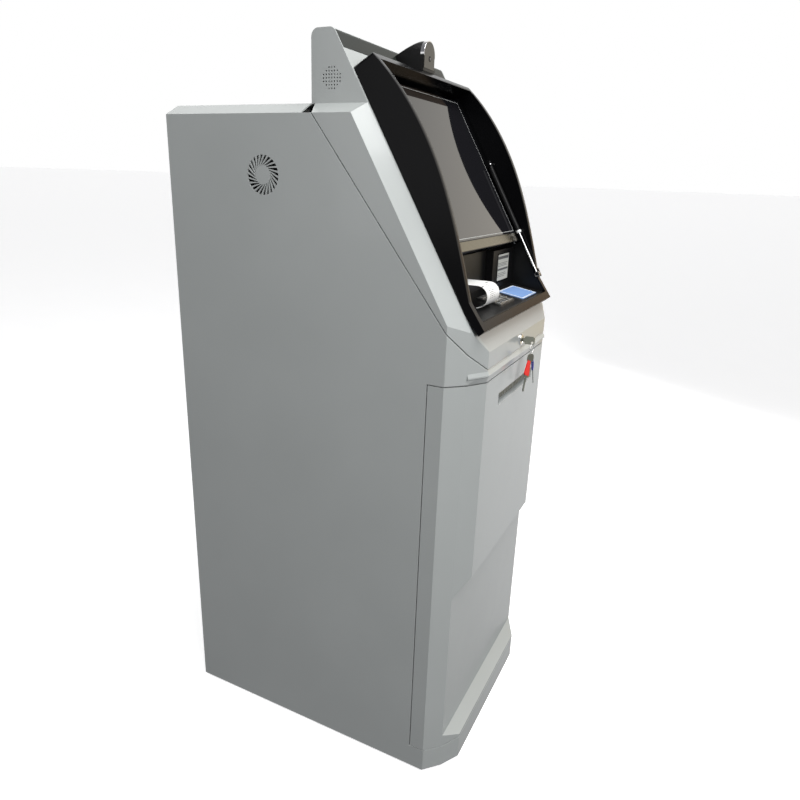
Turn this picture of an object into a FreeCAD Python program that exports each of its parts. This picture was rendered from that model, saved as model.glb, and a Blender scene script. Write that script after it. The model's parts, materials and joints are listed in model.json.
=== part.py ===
import FreeCAD, Part
import math
import os

# Free-standing cash machine. Millimetres, +Z up, +X to the right of somebody facing the machine.
# The sections below are drawn with y = 0 on the flat of the front door and y growing to the rear.
# Export moves every piece so that the origin is the middle of the footprint on the floor.

V = FreeCAD.Vector

# ---------------------------------------------------------------- driving dimensions
# overall
WIDTH = 600.0
DEPTH = 768.0
ROOF_Z = 1548.0
HEADER_TOP_Z = 1685.0
FOOT_H = 5.0                # floor to the underside of the sheet metal

# sheet metal
SHEET = 3.0
GAP = 2.0                   # shadow gap round every door and lid
CLEAR = 1.0                 # assembly clearance between an insert and its frame

# plan of the front corners
FLAT_HALF = 217.0           # half width of the flat front
FACET_HALF = 264.0          # half width where the two corner facets meet
FACET_IN = 28.0             # depth of that meeting line
CORNER_IN = 63.0            # depth where the corner meets the flat side

# roof edge
CHAMFER_W = 38.0
CHAMFER_H = 21.0

# front door
DOOR_BOTTOM_Z = 66.0
DOOR_TOP_Z = 1010.0
DOOR_RETURN = 99.0          # how far the door wraps round onto the side
RAISED_Z = 536.0            # lower edge of the raised front panel
RAISED_SLOPE_H = 39.0       # height of the sloped underside of the raised panel
TOE_Z = 76.0                # top of the upright toe
TOE_SLOPE_H = 23.0          # height of the slope above the toe
HINGE_R = 4.0
HINGE_PIN_R = 1.5

# paper and note outlet in the front door
OUTLET_W = 262.0
OUTLET_Z0 = 930.0
OUTLET_Z1 = 963.0
OUTLET_DEEP = 34.0

# head lid
TILT_DEG = 30.0             # tilt of the fascia from upright
KINK_Z = 1075.0             # height where the upright nose turns into the fascia
SEAM_Z = 1035.0             # height of the lid seam at the front
SEAM_DEG = 37.8             # angle of the seam from upright
HEADER_HALF = 262.0
HEADER_REAR = 404.0
BEVEL_IN = 6.0              # start of the fascia side bevel, outside the bezel
BEVEL_DROP = 24.0           # depth of that bevel, square to the fascia
HEADER_R = 16.0

# black bezel, in fascia coordinates: along the slope from the kink, and out of it
BEZEL_HALF = 256.0
BEZEL_WALL = 16.0
BEZEL_TOP = 622.0
BEZEL_TOE = 40.0
BEZEL_TOP_OUT = 48.0
BEZEL_BELLY_OUT = 76.0
GLASS_OUT = 17.0            # front of the screen glass above the fascia

# screen
SCREEN_TOP = 600.0
SCREEN_LOW = 235.0
SCREEN_LIP = 24.0
GLASS_T = 5.0
MONITOR_T = 46.0

# transaction recess
RECESS_LOW = 64.0
RECESS_BACK = 108.0
RECESS_FLOOR_DEG = 9.6

tan = math.tan
rad = math.radians
sin_t = math.sin(rad(TILT_DEG))
cos_t = math.cos(rad(TILT_DEG))
HALF = WIDTH / 2

nodes = {}


# ---------------------------------------------------------------- drawing helpers
def box(x0, x1, y0, y1, z0, z1):
    return Part.makeBox(x1 - x0, y1 - y0, z1 - z0, V(x0, y0, z0))


def rod(radius, base, axis, length):
    return Part.makeCylinder(radius, length, V(*base), V(*axis))


def tube(outer, inner, base, axis, length):
    return rod(outer, base, axis, length).cut(rod(inner, base, axis, length))


def loft_polygon(points, direction):
    face = Part.Face(Part.makePolygon(points + [points[0]]))
    return face.extrude(direction)


def side_prism(profile, x0, x1):
    """A (y, z) outline swept along X."""
    return loft_polygon([V(x0, y, z) for y, z in profile], V(x1 - x0, 0, 0))


def plan_prism(profile, z0, z1):
    """An (x, y) outline swept along Z."""
    return loft_polygon([V(x, y, z0) for x, y in profile], V(0, 0, z1 - z0))


def front_prism(profile, y0, y1):
    """An (x, z) outline swept along Y."""
    return loft_polygon([V(x, y0, z) for x, z in profile], V(0, y1 - y0, 0))


def inset(profile, amount):
    """Move every edge of a closed outline inwards by the same amount."""
    area = 0.0
    count = len(profile)
    for i in range(count):
        (ax, ay), (bx, by) = profile[i], profile[(i + 1) % count]
        area += ax * by - bx * ay
    turn = 1.0 if area > 0 else -1.0
    edges = []
    for i in range(count):
        (ax, ay), (bx, by) = profile[i], profile[(i + 1) % count]
        length = math.hypot(bx - ax, by - ay)
        nx, ny = -turn * (by - ay) / length, turn * (bx - ax) / length
        edges.append((ax + nx * amount, ay + ny * amount, (bx - ax) / length, (by - ay) / length))
    moved = []
    for i in range(count):
        px, py, ux, uy = edges[i - 1]
        qx, qy, vx, vy = edges[i]
        cross = ux * vy - uy * vx
        step = ((qx - px) * vy - (qy - py) * vx) / cross
        moved.append((px + ux * step, py + uy * step))
    return moved


def add(name, *shapes):
    """File one node; several shapes become separate solids of that node."""
    solids = []
    for shape in shapes:
        solids.extend(shape.removeSplitter().Solids)
    nodes[name] = Part.makeCompound(solids) if len(solids) > 1 else solids[0]


def tilted(along, out):
    """Fascia coordinates to (y, z)."""
    return (along * sin_t - out * cos_t, KINK_Z + along * cos_t + out * sin_t)


def tilted_prism(profile, x0, x1):
    return side_prism([tilted(a, o) for a, o in profile], x0, x1)


def tilted_box(x0, x1, a0, a1, o0, o1):
    return tilted_prism([(a0, o0), (a1, o0), (a1, o1), (a0, o1)], x0, x1)


def cross_rod(radius, x0, x1, along, out):
    """A round bar along X at fascia coordinates."""
    y, z = tilted(along, out)
    return rod(radius, (x0, y, z), (1, 0, 0), x1 - x0)


# ---------------------------------------------------------------- outlines shared by cabinet, door and lid
def plan_outline():
    """Footprint with faceted front corners."""
    return [(-HALF, CORNER_IN), (-FACET_HALF, FACET_IN), (-FLAT_HALF, 0), (FLAT_HALF, 0),
            (FACET_HALF, FACET_IN), (HALF, CORNER_IN), (HALF, DEPTH), (-HALF, DEPTH)]


def roof_outline():
    return [(-HALF, 0), (HALF, 0), (HALF, ROOF_Z - CHAMFER_H), (HALF - CHAMFER_W, ROOF_Z),
            (CHAMFER_W - HALF, ROOF_Z), (-HALF, ROOF_Z - CHAMFER_H)]


def envelope(wall):
    """The closed body under the roof, drawn in by a wall."""
    plan = plan_prism(inset(plan_outline(), wall), 0, ROOF_Z)
    roof = front_prism(inset(roof_outline(), wall), 0, DEPTH)
    return plan.common(roof)


def seam_z(y):
    return SEAM_Z + y / tan(rad(SEAM_DEG))


def seam_cutter(shift, above):
    """Everything above (or below) the lid seam, moved square to it by shift."""
    lift = shift / math.sin(rad(SEAM_DEG))
    far = DEPTH + 400
    z0 = seam_z(-200) + lift
    z1 = seam_z(far) + lift
    if above:
        profile = [(-200, z0), (far, z1), (-200, z1)]
    else:
        profile = [(-200, z0), (far, z1), (far, -400), (-200, -400)]
    return side_prism(profile, -HALF - 100, HALF + 100)


SHELL = envelope(0).cut(envelope(SHEET))
BODY_SHELL = SHELL.cut(seam_cutter(0, True))
LID_REAR = HEADER_REAR + GAP
ROOF_EDGE_Z = ROOF_Z - CHAMFER_H


# ---------------------------------------------------------------- cabinet
VENT_Y = 504.0
VENT_Z = 1406.0
VENT_R = 40.5
VENT_HUB_R = 19.5
VENT_SLOTS = 24
VENT_SWIRL_DEG = 28.0


def vent_slots(x0, x1):
    """Ring of slots that lean round like the blades of a fan; each widens outwards."""
    cuts = []
    pitch = 360.0 / VENT_SLOTS
    for i in range(VENT_SLOTS):
        start = rad(i * pitch)
        end = start + rad(VENT_SWIRL_DEG)
        corners = []
        for radius, centre, share in ((VENT_HUB_R, start, 0.20), (VENT_R, end, 0.30)):
            spread = rad(pitch) * share
            corners.append((radius, centre - spread, centre + spread))
        (r0, a0, b0), (r1, a1, b1) = corners
        ring = [(r0, a0), (r1, a1), (r1, b1), (r0, b0)]
        outline = [(VENT_Y + r * math.cos(t), VENT_Z + r * math.sin(t)) for r, t in ring]
        cuts.append(side_prism(outline, x0, x1))
    return Part.makeCompound(cuts)


def cabinet_panels():
    door_zone = box(-HALF - 1, HALF + 1, -1, DOOR_RETURN + GAP, DOOR_BOTTOM_Z, DOOR_TOP_Z)
    skin = BODY_SHELL.cut(box(-HALF, HALF, 0, DEPTH, 0, FOOT_H)).cut(door_zone)
    skin = skin.cut(box(SHEET - HALF, HALF - SHEET, DEPTH - SHEET, DEPTH, 0, ROOF_Z))
    for name, sign in (("side_panel_left", -1), ("side_panel_right", 1)):
        x0, x1 = sorted((sign * HALF, sign * (HALF - SHEET)))
        panel = skin.common(box(x0, x1, CORNER_IN, DEPTH, FOOT_H, ROOF_EDGE_Z))
        panel = panel.cut(vent_slots(x0 - 1, x1 + 1))
        add(name, panel)
    roof_cut = box(-HALF, HALF, LID_REAR, DEPTH - SHEET, ROOF_EDGE_Z, ROOF_Z)
    add("roof_panel", SHELL.common(roof_cut))
    front = skin.common(box(-HALF, HALF, 0, CORNER_IN, 0, ROOF_Z))
    add("front_plinth", front.common(box(-HALF, HALF, 0, CORNER_IN, FOOT_H, DOOR_BOTTOM_Z)))
    add("front_cross_rail", front.common(box(-HALF, HALF, 0, CORNER_IN, DOOR_TOP_Z, ROOF_Z)))


BASE_T = 4.0
ANCHOR_X = 400.0
ANCHOR_Y = 520.0
ANCHOR_R = 7.0
ANCHOR_PAD_R = 20.0         # spacers under the pan that carry the anchor load to the floor
CABLE_BORE_R = 30.0
CABLE_Y = 650.0
FOOT_R = 22.0
FOOT_X = 240.0
FOOT_Y0 = 110.0
FOOT_Y1 = 700.0


def base():
    pan = plan_prism(inset(plan_outline(), SHEET), FOOT_H, FOOT_H + BASE_T)
    for sx in (-1, 1):
        for sy in (-1, 1):
            at = (sx * ANCHOR_X / 2, DEPTH / 2 + sy * ANCHOR_Y / 2, 0)
            pan = pan.fuse(rod(ANCHOR_PAD_R, at, (0, 0, 1), FOOT_H))
            pan = pan.cut(rod(ANCHOR_R, at, (0, 0, 1), FOOT_H + BASE_T))
    pan = pan.cut(rod(CABLE_BORE_R, (0, CABLE_Y, 0), (0, 0, 1), FOOT_H + BASE_T))
    add("base_pan", pan)
    feet = []
    for x in (-FOOT_X, FOOT_X):
        for y in (FOOT_Y0, FOOT_Y1):
            feet.append(rod(FOOT_R, (x, y, 0), (0, 0, 1), FOOT_H))
    add("levelling_feet", *feet)


POST = 25.0
POST_WALL = 2.0
POST_Y0 = DOOR_RETURN + 9.0
RAIL_TOP_Z = 985.0
REAR_POST_TOP_Z = ROOF_Z - 60.0


def square_tube(x0, x1, y0, y1, z0, z1, along):
    outer = box(x0, x1, y0, y1, z0, z1)
    t = POST_WALL
    if along == "z":
        return outer.cut(box(x0 + t, x1 - t, y0 + t, y1 - t, z0, z1))
    if along == "y":
        return outer.cut(box(x0 + t, x1 - t, y0, y1, z0 + t, z1 - t))
    return outer.cut(box(x0, x1, y0 + t, y1 - t, z0 + t, z1 - t))


def frame():
    pan_z = FOOT_H + BASE_T
    inner = HALF - SHEET
    rear = DEPTH - SHEET - POST
    posts = []
    for x in (-inner, inner - POST):
        posts.append(square_tube(x, x + POST, POST_Y0, POST_Y0 + POST, pan_z, RAIL_TOP_Z, "z"))
        posts.append(square_tube(x, x + POST, rear, rear + POST, pan_z, REAR_POST_TOP_Z, "z"))
    for x in (-inner, inner - POST):
        posts.append(square_tube(x, x + POST, POST_Y0 + POST, rear, RAIL_TOP_Z - POST, RAIL_TOP_Z, "y"))
    add("frame_posts", *posts)


# ---------------------------------------------------------------- front door
def door_solid(wall):
    """The faceted door block with its recess and toe; wall draws every face inwards."""
    block = plan_prism(inset(plan_outline(), wall), 0, DOOR_TOP_Z)
    y = FACET_IN + wall
    drop = wall * 0.6
    waist = [(-50, RAISED_Z + drop), (wall, RAISED_Z + drop), (y, RAISED_Z - RAISED_SLOPE_H + drop),
             (y, TOE_Z + TOE_SLOPE_H - drop), (wall, TOE_Z - drop), (-50, TOE_Z - drop)]
    return block.cut(side_prism(waist, -HALF, HALF))


OUTLET_WALL = 2.0
OUTLET_RISE = 12.0          # the ledge climbs this much to the rear
TOOTH_W = 7.0
TOOTH_H = 10.5
TOOTH_PITCH = 12.0
TOOTH_Y = 1.0
TOOTH_T = 2.0
COMB_BAR_H = 3.0
NOTE_SLOT_INSET = 20.0
NOTE_SLOT_H = 6.0


def front_door():
    z0 = DOOR_BOTTOM_Z + GAP
    z1 = DOOR_TOP_Z - GAP
    skin = door_solid(0).common(box(-HALF, HALF, 0, DOOR_RETURN, z0, z1))
    skin = skin.cut(door_solid(SHEET).common(box(-HALF, HALF, 0, DEPTH, z0 + SHEET, z1 - SHEET)))
    half = OUTLET_W / 2
    add("front_door", skin.cut(box(-half, half, -1, SHEET + 1, OUTLET_Z0, OUTLET_Z1)))
    outer = box(-half, half, 0, OUTLET_DEEP, OUTLET_Z0, OUTLET_Z1)
    w = OUTLET_WALL
    ceiling = OUTLET_Z1 - w
    ledge = OUTLET_Z0 + w
    rear = OUTLET_DEEP - w
    hollow = [(-1, ledge), (rear, ledge + OUTLET_RISE), (rear, ceiling), (-1, ceiling)]
    chute = outer.cut(side_prism(hollow, w - half, half - w))
    slot = half - NOTE_SLOT_INSET
    slot_top = ceiling - w
    chute = chute.cut(box(-slot, slot, rear - 1, OUTLET_DEEP + 1, slot_top - NOTE_SLOT_H, slot_top))
    tooth_rear = TOOTH_Y + TOOTH_T
    chute = chute.fuse(box(w - half, half - w, TOOTH_Y, tooth_rear, ceiling - COMB_BAR_H, ceiling))
    count = int((OUTLET_W - 2 * w - TOOTH_W) / TOOTH_PITCH)
    tooth_top = ceiling - COMB_BAR_H + 0.5
    for i in range(count):
        x = (i - (count - 1) / 2) * TOOTH_PITCH
        tooth = box(x - TOOTH_W / 2, x + TOOTH_W / 2, TOOTH_Y, tooth_rear, tooth_top - TOOTH_H, tooth_top)
        chute = chute.fuse(tooth)
    add("outlet_chute", chute)


DOOR_AXIS = (HALF + HINGE_R, DOOR_RETURN + GAP / 2)
DOOR_HINGE_Z = (180.0, 538.0, 900.0)
KNUCKLE = 24.0
LEAF = 26.0
LEAF_T = 2.0
HINGE_SLIP = 0.05


def door_hinges():
    """Three lift-off hinges: upper knuckle and leaf on the door, lower ones and the pin on the cabinet."""
    ax, ay = DOOR_AXIS
    door_side, body_side = [], []
    for z in DOOR_HINGE_Z:
        upper = rod(HINGE_R, (ax, ay, z), (0, 0, 1), KNUCKLE)
        leaf = box(HALF, HALF + LEAF_T, ay - LEAF, ay - HINGE_R * 0.4, z, z + KNUCKLE)
        upper = upper.fuse(leaf.common(box(HALF, HALF + LEAF_T, 0, DOOR_RETURN, z, z + KNUCKLE)))
        upper = upper.fuse(box(HALF, HALF + LEAF_T, DOOR_RETURN - 4, ay, z, z + KNUCKLE))
        upper = upper.cut(rod(HINGE_PIN_R + HINGE_SLIP, (ax, ay, z - 1), (0, 0, 1), KNUCKLE - 3))
        door_side.append(upper)
        low = z - KNUCKLE - 0.5
        lower = rod(HINGE_R, (ax, ay, low), (0, 0, 1), KNUCKLE)
        lower = lower.fuse(box(HALF, HALF + LEAF_T, ay, ay + LEAF, low, low + KNUCKLE))
        lower = lower.fuse(rod(HINGE_PIN_R, (ax, ay, low), (0, 0, 1), KNUCKLE * 2 - 6))
        body_side.append(lower)
    add("door_hinge_upper_leaves", *door_side)
    add("door_hinge_lower_leaves", *body_side)


# ---------------------------------------------------------------- head lid
def lid_profile(wall):
    """Side outline of the lid up to the roof line and of the header above it."""
    reach = (HEADER_TOP_Z - KINK_Z) * tan(rad(TILT_DEG))
    return inset([(0, KINK_Z - 300), (0, KINK_Z), (reach, HEADER_TOP_Z), (HEADER_REAR, HEADER_TOP_Z),
                  (HEADER_REAR, KINK_Z - 300)], wall)


def bevel_cutters(wall):
    """Two wedges that take the long edges off between fascia and sides."""
    x0 = BEZEL_HALF + BEVEL_IN
    slope = math.atan2(BEVEL_DROP, HALF - x0)
    far = 900.0
    shift = wall / math.cos(slope)
    x1 = HALF + 60
    out0 = -shift
    out1 = -shift - (x1 - x0) * tan(slope)
    wedges = []
    for sign in (-1, 1):
        points = []
        for x, out in ((x0, out0), (x1, out1), (x1, 400), (x0, 400)):
            y, z = tilted(-200, out)
            points.append(V(sign * x, y, z))
        wedges.append(loft_polygon(points, V(0, far * sin_t, far * cos_t)))
    return wedges


def lid_block(wall):
    body = envelope(wall).common(side_prism(lid_profile(wall), -HALF, HALF))
    for wedge in bevel_cutters(wall):
        body = body.cut(wedge)
    return body


def header_block(wall):
    half = HEADER_HALF - wall
    prism = side_prism(lid_profile(wall), -half, half)
    prism = prism.common(box(-half, half, 0, DEPTH, ROOF_Z - 40, HEADER_TOP_Z))
    top = HEADER_TOP_Z - wall
    radius = HEADER_R - wall
    edges = [e for e in prism.Edges if len(e.Vertexes) == 2
             and all(abs(v.Z - top) < 0.01 for v in e.Vertexes)
             and abs(e.Vertexes[0].Y - e.Vertexes[1].Y) < 0.01]
    return prism.makeFillet(radius, edges)


SPEAKER_ROWS = (3, 5, 7, 7, 7, 5, 3)
SPEAKER_PITCH = 6.4
SPEAKER_HOLE_R = 1.6
SPEAKER_Y = 356.0
SPEAKER_Z = 1594.0


def speaker_holes(x0, x1):
    holes = []
    for row, count in enumerate(SPEAKER_ROWS):
        for column in range(count):
            y = SPEAKER_Y + (column - (count - 1) / 2) * SPEAKER_PITCH
            z = SPEAKER_Z + (row - (len(SPEAKER_ROWS) - 1) / 2) * SPEAKER_PITCH
            holes.append(rod(SPEAKER_HOLE_R, (x0, y, z), (1, 0, 0), x1 - x0))
    return Part.makeCompound(holes)


OPENING_HALF = BEZEL_HALF - BEZEL_WALL
STRIP_Z0 = 1648.0
STRIP_Z1 = 1681.0
LOCK_X = 7.0
LOCK_Z = 1058.0
LOCK_BORE_R = 9.5


def head_lid():
    outer = lid_block(0)
    shell = outer.cut(lid_block(SHEET)).cut(seam_cutter(GAP, False))
    shell = shell.cut(header_block(SHEET))
    window_top = BEZEL_TOP - BEZEL_RIM + 1.5
    window = tilted_box(-OPENING_HALF, OPENING_HALF, RECESS_LOW, window_top, -60, 60)
    shell = shell.cut(window).cut(rod(LOCK_BORE_R, (LOCK_X, -10, LOCK_Z), (0, 1, 0), 30))
    head = shell.cut(box(-HEADER_HALF, HEADER_HALF, 0, DEPTH, ROOF_Z, HEADER_TOP_Z))
    add("head_shell", head)
    header = header_block(0).cut(header_block(SHEET)).common(
        box(-HEADER_HALF, HEADER_HALF, 0, DEPTH, ROOF_Z, HEADER_TOP_Z))
    header = header.cut(window)
    cheek_in = HEADER_HALF - SHEET
    header = header.cut(speaker_holes(-HEADER_HALF - 1, -cheek_in + 1))
    header = header.cut(speaker_holes(cheek_in - 1, HEADER_HALF + 1))
    strip = box(-cheek_in, cheek_in, 0, HEADER_REAR - 20, STRIP_Z0, STRIP_Z1)
    front = header_block(0).cut(header_block(SHEET)).common(strip)
    header = header.cut(front)
    add("header_box", header)
    add("header_strip", front.common(box(-cheek_in + CLEAR, cheek_in - CLEAR, 0, DEPTH,
                                         STRIP_Z0 + CLEAR, STRIP_Z1 - CLEAR)))


# ---------------------------------------------------------------- bezel and screen
def bezel_outline():
    """Side outline of a wing as a closed wire in the tilted plane."""
    rim = [(BEZEL_TOP, BEZEL_TOP_OUT), (BEZEL_TOP * 0.80, BEZEL_BELLY_OUT - 2),
           (BEZEL_TOP * 0.62, BEZEL_BELLY_OUT - 1), (BEZEL_TOP * 0.37, BEZEL_BELLY_OUT * 0.65),
           (BEZEL_TOP * 0.175, BEZEL_BELLY_OUT * 0.25)]
    points = [V(0, *tilted(a, o)) for a, o in rim]
    curve = Part.BSplineCurve()
    curve.interpolate(points)
    toe_out = V(0, *tilted(BEZEL_TOE + 3, BEZEL_BELLY_OUT * 0.32))
    toe_in = V(0, *tilted(BEZEL_TOE, 9))
    kink = V(0, *tilted(BEZEL_TOE + 50, 0))
    top = V(0, *tilted(BEZEL_TOP, 0))
    edges = [curve.toShape()]
    chain = [points[-1], toe_out, toe_in, kink, top, points[0]]
    for start, end in zip(chain, chain[1:]):
        edges.append(Part.makeLine(start, end))
    return Part.Wire(edges)


def bezel_prism(half):
    face = Part.Face(bezel_outline())
    face.translate(V(-half, 0, 0))
    return face.extrude(V(2 * half, 0, 0))


STRUT_X = 229.0
STRUT_OUT = 24.5
STRUT_LOW = 112.0           # along the fascia, eye on the wing
STRUT_TOP = 424.0           # along the fascia, eye on the monitor
STRUT_STUD_R = 3.0
BEZEL_RIM = 14.0            # height of the top and bottom beams along the fascia


def bezel():
    body = bezel_prism(BEZEL_HALF)
    mouth = tilted_box(-OPENING_HALF, OPENING_HALF, BEZEL_TOE + BEZEL_RIM + 8, BEZEL_TOP - BEZEL_RIM,
                       -60, 200)
    body = body.cut(mouth)
    corner = [e for e in body.Edges if len(e.Vertexes) == 2
              and all(abs(v.X) > BEZEL_HALF - 0.1 for v in e.Vertexes)
              and abs(e.Vertexes[0].X - e.Vertexes[1].X) < 0.01
              and min(v.Z for v in e.Vertexes) > tilted(BEZEL_TOP, 0)[1] - 0.1]
    body = body.makeFillet(6.0, corner)
    body = body.fuse(cross_rod(STRUT_STUD_R, STRUT_X - 4.5, OPENING_HALF + 1, STRUT_LOW, STRUT_OUT))
    ear = tilted_box(OPENING_HALF - 3, OPENING_HALF + 4, STRUT_LOW - 8, STRUT_LOW + 14,
                     GLASS_OUT - 1.5, STRUT_OUT + 5)
    body = body.fuse(ear)
    axis_along, axis_out = MONITOR_AXIS
    flange_x = MONITOR_HALF + 1.5
    beam = BEZEL_TOP - BEZEL_RIM
    for sign in (-1, 1):
        x0, x1 = sorted((sign * flange_x, sign * (OPENING_HALF + 1)))
        body = body.fuse(tilted_box(x0, x1, SCREEN_LOW - SCREEN_LIP - 1, beam + 1,
                                    GLASS_OUT - GLASS_T, GLASS_OUT - 0.5))
        x0, x1 = sorted((sign * (flange_x + 0.5), sign * (flange_x + 5)))
        body = body.fuse(tilted_box(x0, x1, axis_along - 6, beam + 1, axis_out - 6, GLASS_OUT - 1))
        body = body.cut(cross_rod(MONITOR_PIN_R + CLEAR / 10, x0 - 0.1, x1 + 0.1, axis_along, axis_out))
    add("screen_bezel", body)


STRUT_COLLAR = 235.0
STRUT_TUBE_R = 6.5
STRUT_ROD_R = 3.0
STRUT_EYE_R = 7.0
MONITOR_HALF = 219.0        # the strut runs beside the monitor, over the side flange of the bezel
MONITOR_AXIS = (SCREEN_TOP + 1.0, 2.0)
MONITOR_PIN_R = 2.5
PAN_T = 18.0


def screen():
    side = MONITOR_HALF
    top = SCREEN_TOP - 3
    back = GLASS_OUT - GLASS_T
    glass = tilted_box(-side, side, SCREEN_LOW, top, back, GLASS_OUT)
    notch = tilted_box(side - 4.5, side + 1, STRUT_TOP - 12.5, STRUT_TOP + 6.5, back, GLASS_OUT)
    add("screen_glass", glass.cut(notch))
    frame_low = SCREEN_LOW - SCREEN_LIP
    pan = tilted_box(-side, side, frame_low, top, back - PAN_T, back)
    pan = pan.cut(tilted_box(20 - side, side - 20, SCREEN_LOW + 14, SCREEN_TOP - 24,
                             back - PAN_T - 1, back + 1))
    pan = pan.fuse(tilted_box(-side, side, frame_low, SCREEN_LOW - 0.5, back, GLASS_OUT))
    pan = pan.fuse(tilted_box(side - 4, side, STRUT_TOP - 12, STRUT_TOP + 6, back, STRUT_OUT + 6))
    pan = pan.fuse(cross_rod(STRUT_STUD_R, side - 1, STRUT_X - STRUT_TUBE_R - 0.5, STRUT_TOP - 3, STRUT_OUT))
    axis_along, axis_out = MONITOR_AXIS
    for sign in (-1, 1):
        x0, x1 = sorted((sign * (side - 6), sign * side))
        pan = pan.fuse(tilted_box(x0, x1, top - 7, axis_along + 3, axis_out - 3, axis_out + 3))
        x0, x1 = sorted((sign * (side - 6), sign * (side + 6.5)))
        pan = pan.fuse(cross_rod(MONITOR_PIN_R, x0, x1, axis_along, axis_out))
    add("monitor_frame", pan)
    add("display_module", tilted_box(-180, 180, SCREEN_LOW + 40, SCREEN_TOP - 50, back - MONITOR_T, back))


def screen_strut():
    """Gas strut beside the screen: rod eye on the bezel wing, tube eye on the monitor."""
    def along(a0, a1, radius):
        y0, z0 = tilted(a0, STRUT_OUT)
        return rod(radius, (STRUT_X, y0, z0), (0, sin_t, cos_t), a1 - a0)
    body = along(STRUT_COLLAR, STRUT_TOP + 4, STRUT_TUBE_R).fuse(along(STRUT_COLLAR - 6, STRUT_COLLAR, 5.0))
    body = body.cut(along(STRUT_COLLAR - 7, STRUT_TOP - 30, STRUT_ROD_R + 0.08))
    add("screen_strut_tube", body)
    y, z = tilted(STRUT_LOW, STRUT_OUT)
    eye = cross_rod(STRUT_EYE_R, STRUT_X - 3.5, STRUT_X + 3.5, STRUT_LOW, STRUT_OUT)
    eye.rotate(V(0, y, z), V(1, 0, 0), 200)
    eye = eye.fuse(along(STRUT_LOW, STRUT_COLLAR + 150, STRUT_ROD_R))
    bore = cross_rod(STRUT_STUD_R + 0.06, STRUT_X - 4, STRUT_X + 4, STRUT_LOW, STRUT_OUT)
    bore.rotate(V(0, y, z), V(1, 0, 0), 200)
    add("screen_strut_rod", eye.cut(bore))


# ---------------------------------------------------------------- transaction recess
FLOOR_Y0, RECESS_FLOOR_Z = tilted(RECESS_LOW + 3.92, 10.35)
TRAY_T = 2.0
DEEP_BACK = RECESS_BACK + 20.0
TRAY_TOP_Z = 1250.0


def floor_z(y):
    return RECESS_FLOOR_Z + (y - FLOOR_Y0) * tan(rad(RECESS_FLOOR_DEG))


def on_floor(shape):
    """Lay a piece drawn flat at y = 0, z = 0 on the sloping floor of the recess."""
    shape = shape.copy()
    shape.rotate(V(0, 0, 0), V(1, 0, 0), RECESS_FLOOR_DEG)
    shape.translate(V(0, FLOOR_Y0, RECESS_FLOOR_Z))
    return shape


def recess_profile(wall):
    """(y, z) outline of the tray; wall grows it outwards on the closed sides."""
    front = tilted(RECESS_LOW - wall, GLASS_OUT - 2)
    top_y, top_z = tilted(SCREEN_LOW - SCREEN_LIP - GAP, -2)
    return [front, (DEEP_BACK + wall, floor_z(DEEP_BACK) - wall), (DEEP_BACK + wall, TRAY_TOP_Z + wall),
            (top_y, top_z), tilted(SCREEN_LOW - SCREEN_LIP - GAP, GLASS_OUT - 2)]


RIGHT_PANEL_X = 82.0
WINDOW_X = (119.0, 205.0)
WINDOW_Z = (1171.0, 1236.0)
PAD_X = (90.0, 204.0)
PAD_DEPTH = 66.0
PAD_BODY_H = 7.5
KEY_COLS = 4
KEY_ROWS = 4
KEY_W = 19.0
KEY_D = 11.5
KEY_TOP = 5.5
KEY_LOW = -3.7
KEY_PITCH_X = 23.0
KEY_PITCH_Y = 14.5
KEYPAD_W = 100.0
KEYPAD_D = 62.0
KEYPAD_Y = 12.0
KEY_SLIP = 0.4
PLATE_H = 3.0


def key_place(index):
    row, column = divmod(index, KEY_COLS)
    x = (column - (KEY_COLS - 1) / 2) * KEY_PITCH_X
    y = KEYPAD_Y + KEYPAD_D / 2 + (row - (KEY_ROWS - 1) / 2) * KEY_PITCH_Y
    return x, y


def recess():
    half = OPENING_HALF
    outer = side_prism(recess_profile(TRAY_T), -half, half)
    hollow = side_prism(recess_profile(0), TRAY_T - half, half - TRAY_T)
    tray = outer.cut(hollow)
    well = on_floor(box(-KEYPAD_W / 2, KEYPAD_W / 2, KEYPAD_Y, KEYPAD_Y + KEYPAD_D, -TRAY_T - 3, 2))
    tray = tray.cut(well)
    pad_hole = on_floor(box(PAD_X[0], PAD_X[1], 2, 2 + PAD_DEPTH, -TRAY_T - 3, 2))
    tray = tray.cut(pad_hole)
    reader_hole = box(READER_X[0], READER_X[1], DEEP_BACK - 1, DEEP_BACK + 5, READER_Z[0], READER_Z[1])
    slot_hole = box(PRINTER_X[0], PRINTER_X[1], DEEP_BACK - 1, DEEP_BACK + 5, SLOT_Z - 8, SLOT_Z + 8)
    add("recess_tray", tray.cut(reader_hole).cut(slot_hole))
    y1 = DEEP_BACK
    right = half - TRAY_T
    module = side_prism([(RECESS_BACK, floor_z(RECESS_BACK) + 0.3), (y1, floor_z(y1) + 0.3),
                         (y1, TRAY_TOP_Z - 2), (RECESS_BACK, TRAY_TOP_Z - 2)], RIGHT_PANEL_X, right)
    pocket = box(WINDOW_X[0], WINDOW_X[1], RECESS_BACK - 1, RECESS_BACK + 4, WINDOW_Z[0], WINDOW_Z[1])
    add("scanner_module", module.cut(pocket))
    add("scanner_window", box(WINDOW_X[0], WINDOW_X[1], RECESS_BACK + 0.5, RECESS_BACK + 4,
                              WINDOW_Z[0], WINDOW_Z[1]))
    add("signature_pad", on_floor(box(PAD_X[0], PAD_X[1], 2, 2 + PAD_DEPTH, -PAD_BODY_H, 1.5)))


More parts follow.
